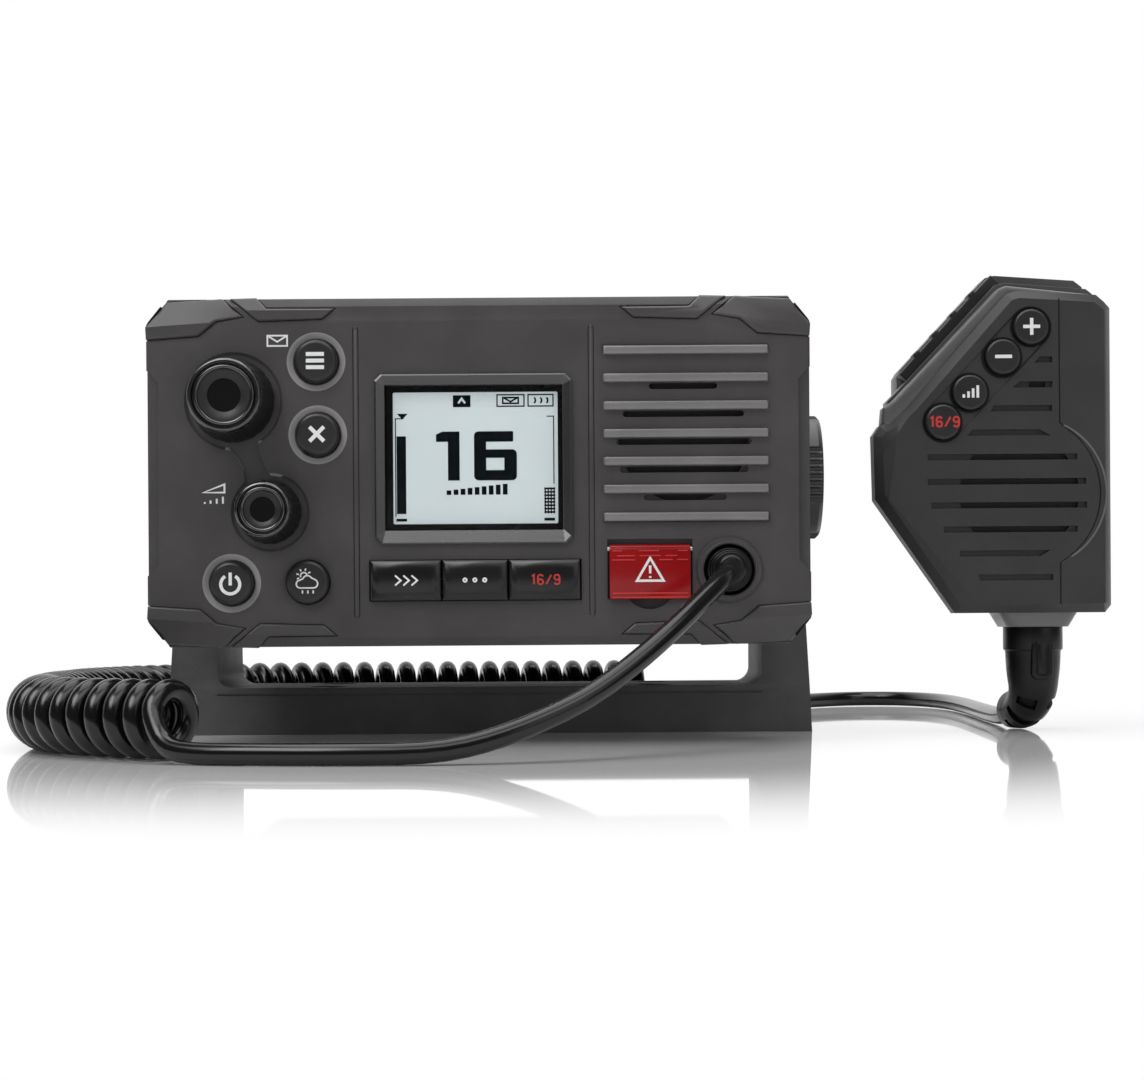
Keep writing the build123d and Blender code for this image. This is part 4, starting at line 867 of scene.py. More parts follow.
def crease(piece: Piece, start: Point2, end: Point2, slope: float, back: float) -> None:
    """Folds the trims of all four corners back along a line given for the upper right one.

    Args:
        piece: The piece with the four trims.
        start: One point of the line, in the face's millimetres.
        end: Another point of it.
        slope: How much a place falls back for each millimetre above the line.
        back: Depth that nothing is pushed past.
    """
    for right, up in QUADRANTS:
        first = FACE.point(right * start[0], up * start[1])
        run = FACE.point(right * end[0], up * end[1]) - first
        normal = Vector((-run.z, 0, run.x)).normalized()
        normal *= 1 if normal.z * up > 0 else -1
        mine = [one for one in piece.mesh.faces
                if (one.calc_center_median().x - FACE.origin.x) * right > 0
                and (one.calc_center_median().z - FACE.origin.z) * up > 0]
        parts = set(mine) | {part for one in mine for part in (*one.edges, *one.verts)}
        cut = bmesh.ops.bisect_plane(piece.mesh, geom=list(parts), plane_co=first, plane_no=normal, dist=1e-6)
        verts = {vert for item in cut["geom"] for vert in (item.verts if hasattr(item, "verts") else [item])}
        for vert in verts:
            above = (vert.co - first).dot(normal)
            if above > 0:
                vert.co.y = min(vert.co.y + slope * above, FACE.origin.y + back * MM)


def fold(piece: Piece, panel: Panel, start: Point2, end: Point2, slope: float, back: float) -> None:
    """Folds a front back along a line. The part left of the line, seen from start to end, falls back.

    Args:
        piece: The piece with the front.
        panel: The front's panel.
        start: One point of the line, in the panel's millimetres.
        end: Another point of it.
        slope: How much a place falls back for each millimetre past the line.
        back: Depth that nothing is pushed past.
    """
    first = panel.point(*start)
    run = panel.point(*end) - first
    normal = Vector((-run.z, 0, run.x)).normalized()
    parts = list(piece.mesh.verts) + list(piece.mesh.edges) + list(piece.mesh.faces)
    bmesh.ops.bisect_plane(piece.mesh, geom=parts, plane_co=first, plane_no=normal, dist=1e-6)
    for vert in piece.mesh.verts:
        past = (vert.co - first).dot(normal)
        if past > 0:
            vert.co.y = max(vert.co.y, min(vert.co.y + slope * past, panel.origin.y + back * MM))


@dataclass
class Housing:
    """Front case with its trims, ribs, grille and screen frame, and the rear chassis with its sockets."""

    case_edge: float = 0.35
    trim_edge: float = 0.22
    cap_crease: tuple[Point2, Point2] = ((63.7, 36.6), (81.1, 35.4))
    cap_slope: float = 0.34
    clip_crease: tuple[Point2, Point2] = ((34.0, 39.4), (62.0, 39.4))
    clip_slope: float = 0.62
    trim_back: float = 2.2
    rib_x: Point2 = (-29.8, 27.5)
    rib_half: float = 35.0
    rib_width: float = 1.15
    rib_proud: float = 0.1
    rib_root: float = 0.6
    rib_end: float = 0.5
    moats: tuple[Point2, ...] = ((-39.4, 26.9), (-39.1, 9.1), (-60.3, -26.9))
    moat_radius: float = 7.6
    neck: Sides = (-62.0, -44.0, -1.0, 8.0)
    moat_depth: float = 1.2
    flat_above: float = 0.98
    bezel_outer: Sides = (-25.2, 22.7, -17.7, 23.6)
    bezel_top: Sides = (-24.85, 22.35, -17.35, 23.25)
    bezel_inner: Sides = (-22.85, 20.65, -14.4, 21.1)
    bezel_cut: float = 1.5
    bezel_inner_cut: float = 0.12
    bezel_heights: tuple[float, ...] = (0.0, 0.95, 1.2, 0.1, -1.6)
    grille_gap: float = 0.2
    grille_back: float = 0.1

    def build(self) -> None:
        """Builds the housing."""
        case = softened("front_case", CASE, MOAT_HIGHLIGHT, width=self.case_edge)
        # Sloped, shallow faces by the key moats and in the neck between the knobs get the pale colour:
        # painted highlight.
        for one in case.mesh.faces:
            place = (one.calc_center_median() - FACE.origin) / MM
            sunk = abs(one.normal.y) < self.flat_above and place.y < self.moat_depth
            one.material_index = 1 if sunk and self.takes_moat_highlight(place) else 0
        case.done()
        for node, line, slope in (("corner_caps", self.cap_crease, self.cap_slope),
                                  ("edge_clips", self.clip_crease, self.clip_slope)):
            trims = softened(node, CASE_TRIM, width=self.trim_edge)
            crease(trims, *line, slope, self.trim_back)
            trims.done(smooth=12)
        self.ribs()
        self.grille()
        self.bezel()
        for node, finish, width in (("rear_chassis", CHASSIS, 0.5), ("case_gasket", GROOVE, 0.1),
                                    ("antenna_socket", NYLON, 0.3), ("power_socket", NYLON, 0.3)):
            softened(node, finish, width=width).done()

    def takes_moat_highlight(self, place: Vector) -> bool:
        """Tells whether a place lies by a key's moat or between the knobs, where sloped walls get a painted
        highlight.
        """
        left, right, bottom, top = self.neck
        return (left < place.x < right and bottom < place.z < top) or any(
            Vector((place.x - x, place.z - z)).length < self.moat_radius for x, z in self.moats)

    def ribs(self) -> None:
        """Adds the two thin upright ribs either side of the screen."""
        ribs = Piece("face_ribs", CASE_TRIM)
        half, flat = self.rib_width / 2, FACE.matrix((0, 0))
        for x in self.rib_x:
            outline = rounded_box(x - half, x + half, -self.rib_half, self.rib_half, half * 0.98)
            ribs.plate(outline, flat, -self.rib_root, self.rib_proud, bevel=0.25)
            for end in (-self.rib_half, self.rib_half):
                button = disc((x, end), self.rib_end, 20)
                ribs.plate(button, flat, -self.rib_root, 2 * self.rib_proud, bevel=0.2)
        ribs.done("radio", "case_plastic")

    def grille(self) -> None:
        """Rounds the speaker grille and gives its slats a paler colour, a painted highlight for the light
        that the louvres catch.
        """
        front = FACE.origin.y - self.grille_back * MM
        grille = softened("speaker_grille", CASE, SLAT_HIGHLIGHT, width=0.5, segments=2, pick=lambda at: at.y < front)
        low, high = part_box("speaker_grille")
        for vert in grille.mesh.verts:
            if vert.co.y > front:
                for axis in (0, 2):
                    for edge, way in ((low[axis], -1), (high[axis], 1)):
                        if abs(vert.co[axis] - edge) < 0.02 * MM:
                            vert.co[axis] += way * self.grille_gap * MM
        # The slats' fronts get the pale colour: painted highlight.
        for one in grille.mesh.faces:
            one.material_index = 1 if one.calc_center_median().y < front else 0
        grille.done()

    def bezel(self) -> None:
        """Builds the screen's frame: four wide bevels that fall to the glass, with cut corners."""
        bezel = Piece("screen_bezel_moulded", SCREEN_FRAME, node="screen_bezel")
        levels = [self.bezel_outer, self.bezel_outer, self.bezel_top, self.bezel_inner, self.bezel_inner]
        cuts = [self.bezel_cut] * 3 + [self.bezel_inner_cut] * 2
        rings = []
        for (left, right, bottom, top), cut, proud in zip(levels, cuts, self.bezel_heights):
            outline = ((left + cut, bottom), (right - cut, bottom), (right, bottom + cut), (right, top - cut),
                       (right - cut, top), (left + cut, top), (left, top - cut), (left, bottom + cut))
            ring = [bezel.mesh.verts.new(FACE.point(x, z, proud)) for x, z in outline]
            rings.append([bezel.mesh.edges.new(pair) for pair in zip(ring, ring[1:] + ring[:1])])
        for outer, inner in zip(rings, rings[1:] + rings[:1]):
            bmesh.ops.bridge_loops(bezel.mesh, edges=outer + inner)
        bmesh.ops.recalc_face_normals(bezel.mesh, faces=bezel.mesh.faces)
        bezel.done(smooth=8)


@dataclass
class Knob:
    """A turned knob with two glossy rings round a matt disc, and fine grips round its skirt."""

    name: str
    at: Point2
    skirt: float
    rim: float
    ring: float
    disc: float
    lift: float = 1.0
    height: float = 15.0
    grips: int = 20
    grip_depth: float = 0.22

    def profile(self) -> list[Point2]:
        """Returns the turned outline, from the front's middle round to the back's middle."""
        top = self.lift + self.height
        bead, groove = self.ring + 0.5, self.ring + 0.78
        return [
            (0, top - 1.0), (self.disc - 0.1, top - 1.0), (self.disc, top - 0.85),
            (self.ring - 0.6, top - 0.6), (self.ring - 0.5, top - 0.35), (self.ring - 0.25, top - 0.12),
            (self.ring, top - 0.05),
            (self.ring + 0.25, top - 0.12), (bead, top - 0.4), (bead + 0.04, top - 1.0), (groove, top - 1.0),
            (groove + 0.04, top - 0.3), (groove + 0.2, top - 0.05), (self.rim - 0.3, top),
            (self.rim, top - 0.12),
            (self.rim + 0.25, top - 0.45), (self.rim + 0.42, top - 1.0), (self.rim + 0.5, top - 1.8),
            (self.rim + 0.6, top - 3.4), (self.skirt - 0.35, self.lift + 4.2),
            (self.skirt - 0.05, self.lift + 1.4),
            (self.skirt, self.lift + 0.5), (self.skirt - 0.3, self.lift), (0, self.lift),
        ]

    def build(self) -> None:
        """Builds the knob."""
        piece = Piece(self.name + "_turned", KNOB_GLOSS, KNOB_MATT, KNOB_BAND, KNOB_SKIRT, node=self.name)
        piece.lathe(self.profile(), Matrix.Identity(4), steps=120)
        for vert in piece.mesh.verts:
            radius = sqrt(vert.co.x ** 2 + vert.co.y ** 2)
            if radius > self.rim + 0.3 and vert.co.z > self.lift + 0.1:
                wave = max(0.0, cos(self.grips * atan2(vert.co.y, vert.co.x))) ** 6
                vert.co.x *= 1 - wave * self.grip_depth / radius
                vert.co.y *= 1 - wave * self.grip_depth / radius
        for one in piece.mesh.faces:
            place = one.calc_center_median()
            radius = sqrt(place.x ** 2 + place.y ** 2)
            if place.z > self.lift + self.height - 1.6:
                one.material_index = 1 if radius < self.disc else 2 if radius < self.ring - 0.6 else 0
            else:
                one.material_index = 3
        bmesh.ops.transform(piece.mesh, matrix=FACE.matrix(self.at), verts=piece.mesh.verts)
        piece.done(smooth=50)


# ---------------------------------------------------------------- signs
class Sign(Enum):
    """The plain signs on keys, flap and microphone."""

    MENU = "three bars"
    CANCEL = "cross"
    POWER = "power"
    WEATHER = "sun over a cloud"
    SEEK = "double arrow"
    WATCH = "three dots"
    CHANNELS = "16/9"
    WARNING = "triangle"
    MESSAGE = "envelope"
    LOUDNESS = "wedge and bars"
    PLUS = "plus"
    MINUS = "minus"
    LEVEL = "rising steps"


Stroke = tuple[list[Point2], bool]  # a line, and whether it is closed


def digit_strokes(digit: str, left: float, width: float, height: float) -> list[Stroke]:
    """Returns the strokes of a digit or a slash, centred on its height.

    Args:
        digit: One of 1, 6, 9 and /.
        left: Where it starts.
        width: Its width between stroke middles.
        height: Its height between stroke middles.

    Returns:
        Lines, each with whether it is closed.
    """
    top, low, right = height / 2, -height / 2, left + width
    bow = width / 2
    if digit == "1":
        stem = right - bow * 0.3
        return [([(right - bow * 1.1, top - bow * 0.55), (stem, top), (stem, low)], False)]
    if digit == "/":
        return [([(left, low), (right, top)], False)]
    middle = left + bow
    bowl = disc((middle, low + bow), bow, 20)
    tail = arc((middle, top - bow), bow, 20, 180, 8) + [(left, low + bow)]
    if digit == "6":
        return [(bowl, True), (tail, False)]
    flip = [(2 * middle - x, -z) for x, z in tail]
    return [([(2 * middle - x, -z) for x, z in bowl], True), (flip, False)]


def number_strokes(text: str, width: float, height: float, gap: float) -> list[Stroke]:
    """Returns the strokes of a row of digits, centred."""
    whole = len(text) * width + (len(text) - 1) * gap
    strokes: list[Stroke] = []
    for place, digit in enumerate(text):
        strokes += digit_strokes(digit, -whole / 2 + place * (width + gap), width, height)
    return strokes


def weather_strokes() -> list[Stroke]:
    """Returns the strokes of a sun with its rays over a cloud with rain."""
    cloud = (arc((1.55, -0.35), 1.05, -90, 70, 7) + arc((0.1, 0.45), 1.15, 30, 160, 7)
             + arc((-1.65, -0.45), 0.95, 95, 270, 8))
    x, z = -0.75, 1.55
    rays = [([(x + reach * cos(turn), z + reach * sin(turn)) for reach in (1.25, 1.85)], False)
            for turn in map(radians, (30, 75, 120, 165, 205))]
    rain = [([(x, -2.0), (x, -2.75)], False) for x in (-1.1, 0.2, 1.5)]
    return [(cloud, True), (arc((x, z), 0.8, 15, 205, 9), False), *rays, *rain]


def bars(*columns: tuple[float, float, float]) -> list[Stroke]:
    """Returns upright strokes, each given by its place, its foot and its top."""
    return [([(x, foot), (x, top)], False) for x, foot, top in columns]


def level_bars(*rows: tuple[float, float]) -> list[Stroke]:
    """Returns level strokes round the middle, each given by its height and half its length."""
    return [([(-half, z), (half, z)], False) for z, half in rows]


SIGN_STROKES: dict[Sign, list[Stroke]] = {
    Sign.MENU: level_bars((1.6, 2.2), (0.0, 2.2), (-1.6, 2.2)),
    Sign.CANCEL: [([(-1.75, -1.75), (1.75, 1.75)], False), ([(-1.75, 1.75), (1.75, -1.75)], False)],
    Sign.POWER: [(arc((0, -0.3), 2.3, 122, 418, 28), False), *bars((0, 2.55, -0.55))],
    Sign.WEATHER: weather_strokes(),
    Sign.SEEK: [([(x - 0.9, 1.2), (x + 0.5, 0), (x - 0.9, -1.2)], False) for x in (-1.6, 0.4, 2.4)],
    Sign.WATCH: [(disc((x, 0), 0.4, 14), True) for x in (-2.4, 0.0, 2.4)],
    Sign.CHANNELS: number_strokes("16/9", 1.25, 2.3, 0.75),
    Sign.WARNING: [([(-3.4, -2.2), (3.4, -2.2), (0, 3.6)], True), *bars((0, 1.7, -0.35), (0, -1.05, -1.5))],
    Sign.MESSAGE: [([(-2.4, -1.1), (2.4, -1.1), (2.4, 1.4), (-2.4, 1.4)], True),
                   ([(-2.4, 1.4), (0, -0.1), (2.4, 1.4)], False)],
    Sign.LOUDNESS: [([(-2.6, 0.4), (2.6, 0.4), (2.6, 2.4)], True),
                    *((([(x, -2.3), (x, -2.3 + rise)]), False)
                      for x, rise in ((-2.2, 0.4), (-0.8, 0.8), (0.7, 1.2), (2.2, 1.7)))],
    Sign.PLUS: [*level_bars((0, 2.0)), *bars((0, -2.0, 2.0))],
    Sign.MINUS: level_bars((0, 2.0)),
    Sign.LEVEL: bars((-1.6, -1.3, -0.5), (-0.5, -1.3, 0.2), (0.6, -1.3, 0.9), (1.7, -1.3, 1.6)),
}  # in millimetres round each sign's own middle
STROKE_RISE = 0.12
STROKE_ROOT = 0.1


def draw_sign(piece: Piece, sign: Sign, panel: Panel, at: Point2, proud: float, width: float = 0.6,
              finish: int = 1, size: float = 1.0) -> None:
    """Draws a sign on a piece, a hair proud of its surface.

    Args:
        piece: The piece that gets the sign.
        sign: Which sign.
        panel: The front that it lies on.
        at: Its middle on the panel.
        proud: Height of the surface over the panel.
        width: Width of its strokes.
        finish: Index of its finish.
        size: Its size.
    """
    place = panel.matrix(at, proud)
    for number, (line, closed) in enumerate(SIGN_STROKES[sign]):
        scaled = [(x * size, z * size) for x, z in line]
        lift = SIGN_LIFT * (1 + STROKE_RISE * number)
        piece.ribbon(scaled, width * size, place, -STROKE_ROOT, lift, closed, finish)


@dataclass
class FrontKeys:
    """The round keys, the three keys under the screen and the printed signs beside them."""

    proud: float = 2.4
    round_keys: tuple[tuple[str, Point2, Sign, float], ...] = (
        ("menu_key", (-39.4, 26.9), Sign.MENU, 0.95), ("cancel_key", (-39.1, 9.1), Sign.CANCEL, 0.95),
        ("power_key", (-60.3, -26.9), Sign.POWER, 0.78), ("weather_key", (-41.7, -26.8), Sign.WEATHER, 0.36),
    )
    soft_keys: tuple[tuple[str, float, Sign, int], ...] = (
        ("left_soft_key", -17.85, Sign.SEEK, 1), ("middle_soft_key", -1.0, Sign.WATCH, 1),
        ("right_soft_key", 15.9, Sign.CHANNELS, 2),
    )
    printed: tuple[tuple[Sign, Point2, float], ...] = (
        (Sign.MESSAGE, (-48.8, 31.9), 0.4), (Sign.LOUDNESS, (-64.5, -5.2), 0.45),
    )
    soft_z: float = -26.55

    def in_front(self, at: Vector) -> bool:
        """Tells whether a place lies on the keys' own front."""
        return at.y < FACE.origin.y - (self.proud - 0.2) * MM

    def build(self) -> None:
        """Builds the keys."""
        for node, at, sign, width in self.round_keys:
            key = softened(node, KEY_RUBBER, SIGN_WHITE, width=0.12)
            draw_sign(key, sign, FACE, at, self.proud, width)
            key.done()
        for node, x, sign, tint in self.soft_keys:
            key = softened(node, KEY_GLOSS, SIGN_WHITE, SIGN_RED, width=0.9, segments=1, pick=self.in_front)
            draw_sign(key, sign, FACE, (x, self.soft_z), self.proud, 0.42, finish=tint)
            key.done()
        marks = Piece("face_signs", SIGN_WHITE)
        for sign, at, width in self.printed:
            draw_sign(marks, sign, FACE, at, 0.0, width, finish=0)
        marks.done("radio", "key_rubber")


@dataclass
class Screen:
    """Mask, pane, ink and glass of the display."""

    mask: Sides = (-23.0, 20.5, -15.2, 21.1)
    pane: Sides = (-21.0, 19.3, -12.7, 19.5)
    corners: Point2 = (0.6, 0.4)
    depth: float = -3.1
    layer: float = 0.1
    glass: Point2 = (-2.3, -1.7)
    glass_grow: float = 0.1
    glass_corner: float = 0.5
    ink_lift: float = 0.05
    digit_step: float = 0.01
    big_one: tuple[Point2, ...] = (
        (-10.5, 7.4), (-7.6, 7.4), (-7.6, -2.1), (-4.75, -2.1), (-4.75, 9.9), (-8.9, 9.9), (-10.5, 9.2),
    )
    big_six: tuple[tuple[float, float, float, float, float], ...] = (
        (-1.2, 1.75, -2.1, 9.9, 1.1), (0.0, 8.4, 7.35, 9.9, 0.3), (0.5, 8.6, 3.4, 5.45, 0.3),
        (6.2, 9.25, -2.1, 5.45, 1.1), (0.0, 8.4, -2.1, 0.4, 0.3),
    )  # sides and corner radius of each bar
    pointer: tuple[Point2, ...] = ((-20.0, 14.3), (-18.7, 12.9), (-17.4, 14.3))
    pointer_lift: float = 0.08
    strokes: tuple[tuple[float, bool, float, int, tuple[Point2, ...]], ...] = (
        (2.9, False, 0.05, 2, ((-6.3, 17.3), (-2.0, 17.3))),
        (0.5, False, 0.09, 1, ((-5.0, 16.8), (-4.15, 17.9), (-3.3, 16.8))),
        (0.32, True, 0.05, 2, ((4.5, 16.0), (11.1, 16.0), (11.1, 18.8), (4.5, 18.8))),
        (0.32, True, 0.05, 2, ((12.1, 16.0), (18.2, 16.0), (18.2, 18.8), (12.1, 18.8))),
        (0.4, False, 0.06, 2, ((5.9, 18.2), (7.8, 17.1), (9.7, 18.2))),
        (0.4, True, 0.07, 2, ((5.9, 16.7), (9.7, 16.7), (9.7, 18.1), (5.9, 18.1))),
        (2.3, False, 0.05, 2, ((-19.0, 8.8), (-19.0, -10.2))),
        (0.25, False, 0.06, 2, ((-20.4, -10.9), (-20.4, 13.1), (-18.4, 13.1))),
        (0.25, False, 0.05, 2, ((16.6, 13.5), (18.3, 13.5), (18.3, -3.0))),
        (0.7, False, 0.05, 2, ((-20.3, -11.7), (-17.7, -11.7))),
        (0.7, False, 0.05, 2, ((15.9, -11.7), (18.5, -11.7))),
    )  # width, whether closed, lift, finish and points
    waves: tuple[Point2, ...] = ((13.0, 17.4), (14.5, 17.4), (16.0, 17.4))
    wave: tuple[float, float, float] = (0.9, 0.42, 0.06)  # radius, width and lift
    combs: tuple[tuple[int, Point2, Point2, Point2, Point2, float, float], ...] = (
        (9, (-7.4, -5.6), (1.72, 0.0), (-7.4, -4.5), (1.72, 0.19), 1.15, 0.05),
        (8, (15.9, -4.2), (0.0, -0.82), (18.6, -4.2), (0.0, -0.82), 0.42, 0.05),
        (4, (16.15, -3.9), (0.72, 0.0), (16.15, -10.3), (0.72, 0.0), 0.3, 0.07),
    )  # number of strokes, first start and its step, first end and its step, width and lift

    def build(self) -> None:
        """Builds the display."""
        flat = FACE.matrix((0, 0))
        image = Piece("lcd_image", SCREEN_MASK, LCD_PALE, LCD_INK)
        for number, (sides, corner) in enumerate(zip((self.mask, self.pane), self.corners)):
            back = self.depth + number * self.layer
            image.plate(rounded_box(*sides, corner), flat, back, back + 2 * self.layer, finish=number)
        self.ink(image)
        image.done("radio", "lcd")
        pane = Piece("screen_glass", GLASS, node="screen_lens")
        left, right, bottom, top = self.mask
        grow = self.glass_grow
        outline = rounded_box(left - grow, right + grow, bottom - grow, top + grow, self.glass_corner)
        pane.plate(outline, flat, *self.glass, bevel=0.1)
        pane.done()

    def line(self, image: Piece, points: list[Point2], width: float, closed: bool = False, lift: float = 0.05,
             finish: int = 2) -> None:
        """Draws one stroke of ink on the pane."""
        base = self.depth + 3 * self.layer
        image.ribbon(points, width, FACE.matrix((0, 0)), base - STROKE_ROOT, base + lift, closed, finish)

    def ink(self, image: Piece) -> None:
        """Draws what the display shows: a channel number, plain boxes and gauges.

        Args:
            image: The piece that gets the ink.
        """
        flat, base = FACE.matrix((0, 0)), self.depth + 3 * self.layer
        image.plate(list(self.big_one), flat, base - STROKE_ROOT, base + self.ink_lift, finish=2)
        for number, bar in enumerate(self.big_six):
            front = base + self.ink_lift + self.digit_step * number
            image.plate(rounded_box(*bar), flat, base - STROKE_ROOT, front, finish=2)
        image.plate(list(self.pointer), flat, base - STROKE_ROOT, base + self.pointer_lift, finish=2)
        for width, closed, lift, finish, points in self.strokes:
            self.line(image, list(points), width, closed, lift, finish)
        radius, width, lift = self.wave
        for middle in self.waves:
            self.line(image, arc(middle, radius, -50, 50, 5), width, lift=lift)
        for count, (x, z), (run, rise), (end_x, end_z), (end_run, end_rise), width, lift in self.combs:
            for step in range(count):
                ends = [(x + step * run, z + step * rise), (end_x + step * end_run, end_z + step * end_rise)]
                self.line(image, ends, width, lift=lift)


@dataclass
class DistressFlap:
    """The red flap over the distress key, with its moulded lines."""

    proud: float = 1.2
    sides: Point2 = (32.4, 50.7)
    sign_at: Point2 = (41.55, -24.9)
    ridge_high: float = 0.14
    ridges: tuple[tuple[float, float, tuple[Point2, ...]], ...] = (
        (-30.0, 0.35, ((0.0, 1.0),)), (-31.0, 0.35, ((0.0, 1.0),)),
        (-19.7, 0.3, ((0.0, 0.13), (0.35, 0.62), (0.87, 1.0))),
        (-20.9, 0.3, ((0.06, 0.3), (0.36, 0.64), (0.7, 0.86))),
        (-21.9, 0.3, ((0.0, 0.3), (0.62, 0.8), (0.86, 1.0))),
    )  # height, width and the shares of the flap's breadth that the ridge covers

    def build(self) -> None:
        """Builds the flap: its red shell, a double ridge below, short bars at the hinge and the sign."""
        flap = softened("distress_flap", FLAP_RED, SIGN_WHITE, FLAP_LINE, width=0.25, segments=3)
        flat = FACE.matrix((0, 0), self.proud)
        left, right = self.sides
        for z, width, spans in self.ridges:
            for span in spans:
                line = [(left + share * (right - left), z) for share in span]
                flap.ribbon(line, width, flat, -STROKE_ROOT, self.ridge_high, finish=2)
        draw_sign(flap, Sign.WARNING, FACE, self.sign_at, self.proud, 0.62, size=0.95)
        flap.done()


@dataclass
class CordGland:
    """The ring in the face and the stepped grommet that the cord leaves."""

    at: Point2 = (60.9, -24.4)
    ring: tuple[Point2, ...] = (
        (6.25, -0.4), (6.25, 0.9), (6.4, 1.15), (6.75, 1.2), (7.0, 0.95), (7.3, 0.9), (7.65, 0.95),
        (7.95, 0.6), (8.2, -0.05), (8.2, -0.4), (6.25, -0.4),
    )
    boot: tuple[Point2, ...] = (
        (0, -3.1), (6.1, -3.1), (6.1, -1.2), (5.85, -0.6), (5.6, -0.5), (5.5, 0.4), (5.3, 0.9), (5.0, 1.0),
        (4.95, 2.4), (4.75, 2.9), (4.5, 3.0), (4.45, 4.3), (4.25, 4.8), (4.0, 4.9), (3.95, 6.2),
        (3.75, 6.9), (3.2, 7.6), (2.75, 7.9), (0, 7.9),
    )

    def build(self) -> None:
        """Builds the gland."""
        ring = Piece("gland_ring_turned", CASE, KNOB_GLOSS, node="gland_ring")
        ring.lathe(list(self.ring), FACE.matrix(self.at), steps=96)
        ring.done(slot="case_plastic")
        boot = Piece("cord_grommet_moulded", RELIEF, node="cord_grommet")
        boot.lathe(list(self.boot), FACE.matrix(self.at))
        boot.done()


# ---------------------------------------------------------------- microphone
Ring = tuple[float, float, float, float]  # radius, stroke's width, back and front


@dataclass
class Microphone:
    """The fist microphone: covers, keys, talk bar and collar."""

    edge: float = 0.14
    folds: tuple[tuple[Point2, Point2, float, float], ...] = (
        ((-28.3, 31.0), (-26.0, 48.5), 0.42, 3.4), ((-4.1, 1.5), (-28.3, 31.0), 0.5, 3.4),
        ((30.0, 2.8), (-5.2, 2.8), 0.4, 3.4), ((-26.0, 48.5), (-12.0, 68.0), 0.45, 3.4),
        ((29.6, 90.0), (29.6, 0.0), 0.8, 3.4),
    )
    seam_x: float = 17.1
    bow: Point3 = (9.4, 32.4, 18.4)
    keys: tuple[tuple[str, Point2, Sign, int, float], ...] = (
        ("mic_plus_key", (9.5, 76.4), Sign.PLUS, 1, 0.8), ("mic_minus_key", (2.0, 68.5), Sign.MINUS, 1, 0.8),
        ("mic_scan_key", (-6.8, 59.1), Sign.LEVEL, 1, 0.62),
        ("mic_channel_key", (-14.0, 51.3), Sign.CHANNELS, 2, 0.5),
    )
    key_proud: float = 1.6
    key_collar: Ring = (5.12, 0.5, -0.6, -0.22)
    pair_ring: Ring = (5.45, 0.28, -0.6, 0.03)
    ridge: Ring = (20.0, 0.5, -0.2, 0.14)
    ridge_turn: Point2 = (64, -58)
    collar_grip: float = 1.0
    band: tuple[Point2, ...] = (
        (-28.0, 50.0), (-24.0, 51.5), (5.5, 83.0), (22.0, 83.0), (26.0, 85.6), (3.6, 88.0), (1.6, 87.2),
        (-26.4, 57.7), (-29.2, 55.6), (-29.6, 51.4),
    )
    band_proud: float = -3.0

    def build(self) -> None:
        """Builds the microphone."""
        cover = softened("mic_front_cover", MIC_PLASTIC, MIC_REAR, width=self.edge, segments=1, sharp=20)
        for start, end, slope, back in self.folds:
            fold(cover, MIC, start, end, slope, back)
        for one in cover.mesh.faces:
            place = one.calc_center_median()
            x, z = (place.x - MIC.origin.x) / MM, (place.z - MIC.origin.z) / MM
            one.material_index = 1 if self.plain_half(x, z) else 0
        cover.done(smooth=14)
        self.bed()
        band = Piece("mic_side_band", MIC_EDGE)
        band.plate(list(self.band), MIC.matrix((0, 0)), -10.4, self.band_proud, bevel=1.1, segments=2)
        band.done("microphone", "mic_plastic")
        softened("mic_rear_shell", MIC_REAR, width=0.9, segments=3, sharp=20).done(smooth=30)
        collar = softened("mic_collar", MIC_COLLAR, width=0.15)
        _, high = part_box("mic_collar")
        for vert in collar.mesh.verts:
            vert.co.z += self.collar_grip * MM if vert.co.z > high.z - 0.4 * MM else 0
        collar.done()
        softened("mic_hang_stud", MIC_PLASTIC, width=0.2).done()
        softened("push_to_talk_bar", MIC_RUBBER, width=0.4, segments=3).done()
        for node, at, sign, tint, stroke in self.keys:
            key = softened(node, KEY_RUBBER, SIGN_WHITE, SIGN_RED, width=0.15)
            draw_sign(key, sign, MIC, at, self.key_proud, stroke, finish=tint, size=1.12)
            key.done()

    def plain_half(self, x: float, z: float) -> bool:
        """Tells whether a place lies right of the seam and its bow."""
        centre_x, centre_z, radius = self.bow
        return x > self.seam_x and (x - centre_x) ** 2 + (z - centre_z) ** 2 > radius ** 2

    def bed(self) -> None:
        """Adds the dark collars round the keys and the ridge outside the seam's bow."""
        marks = Piece("mic_key_collars", GROOVE, MIC_RIDGE)
        flat = MIC.matrix((0, 0))
        radius, width, back, front = self.key_collar
        for _, at, _, _, _ in self.keys:
            marks.ribbon(disc(at, radius), width, flat, back, front, True)
        plus, minus = self.keys[0][1], self.keys[1][1]
        lean = degrees(atan2(plus[1] - minus[1], plus[0] - minus[0]))
        radius, width, back, front = self.pair_ring
        loop = arc(plus, radius, lean - 90, lean + 90, 16) + arc(minus, radius, lean + 90, lean + 270, 16)
        marks.ribbon(loop, width, flat, back, front, True)
        radius, width, back, front = self.ridge
        marks.ribbon(arc(self.bow[:2], radius, *self.ridge_turn, 40), width, flat, back, front, finish=1)
        marks.done("microphone", "mic_rubber")


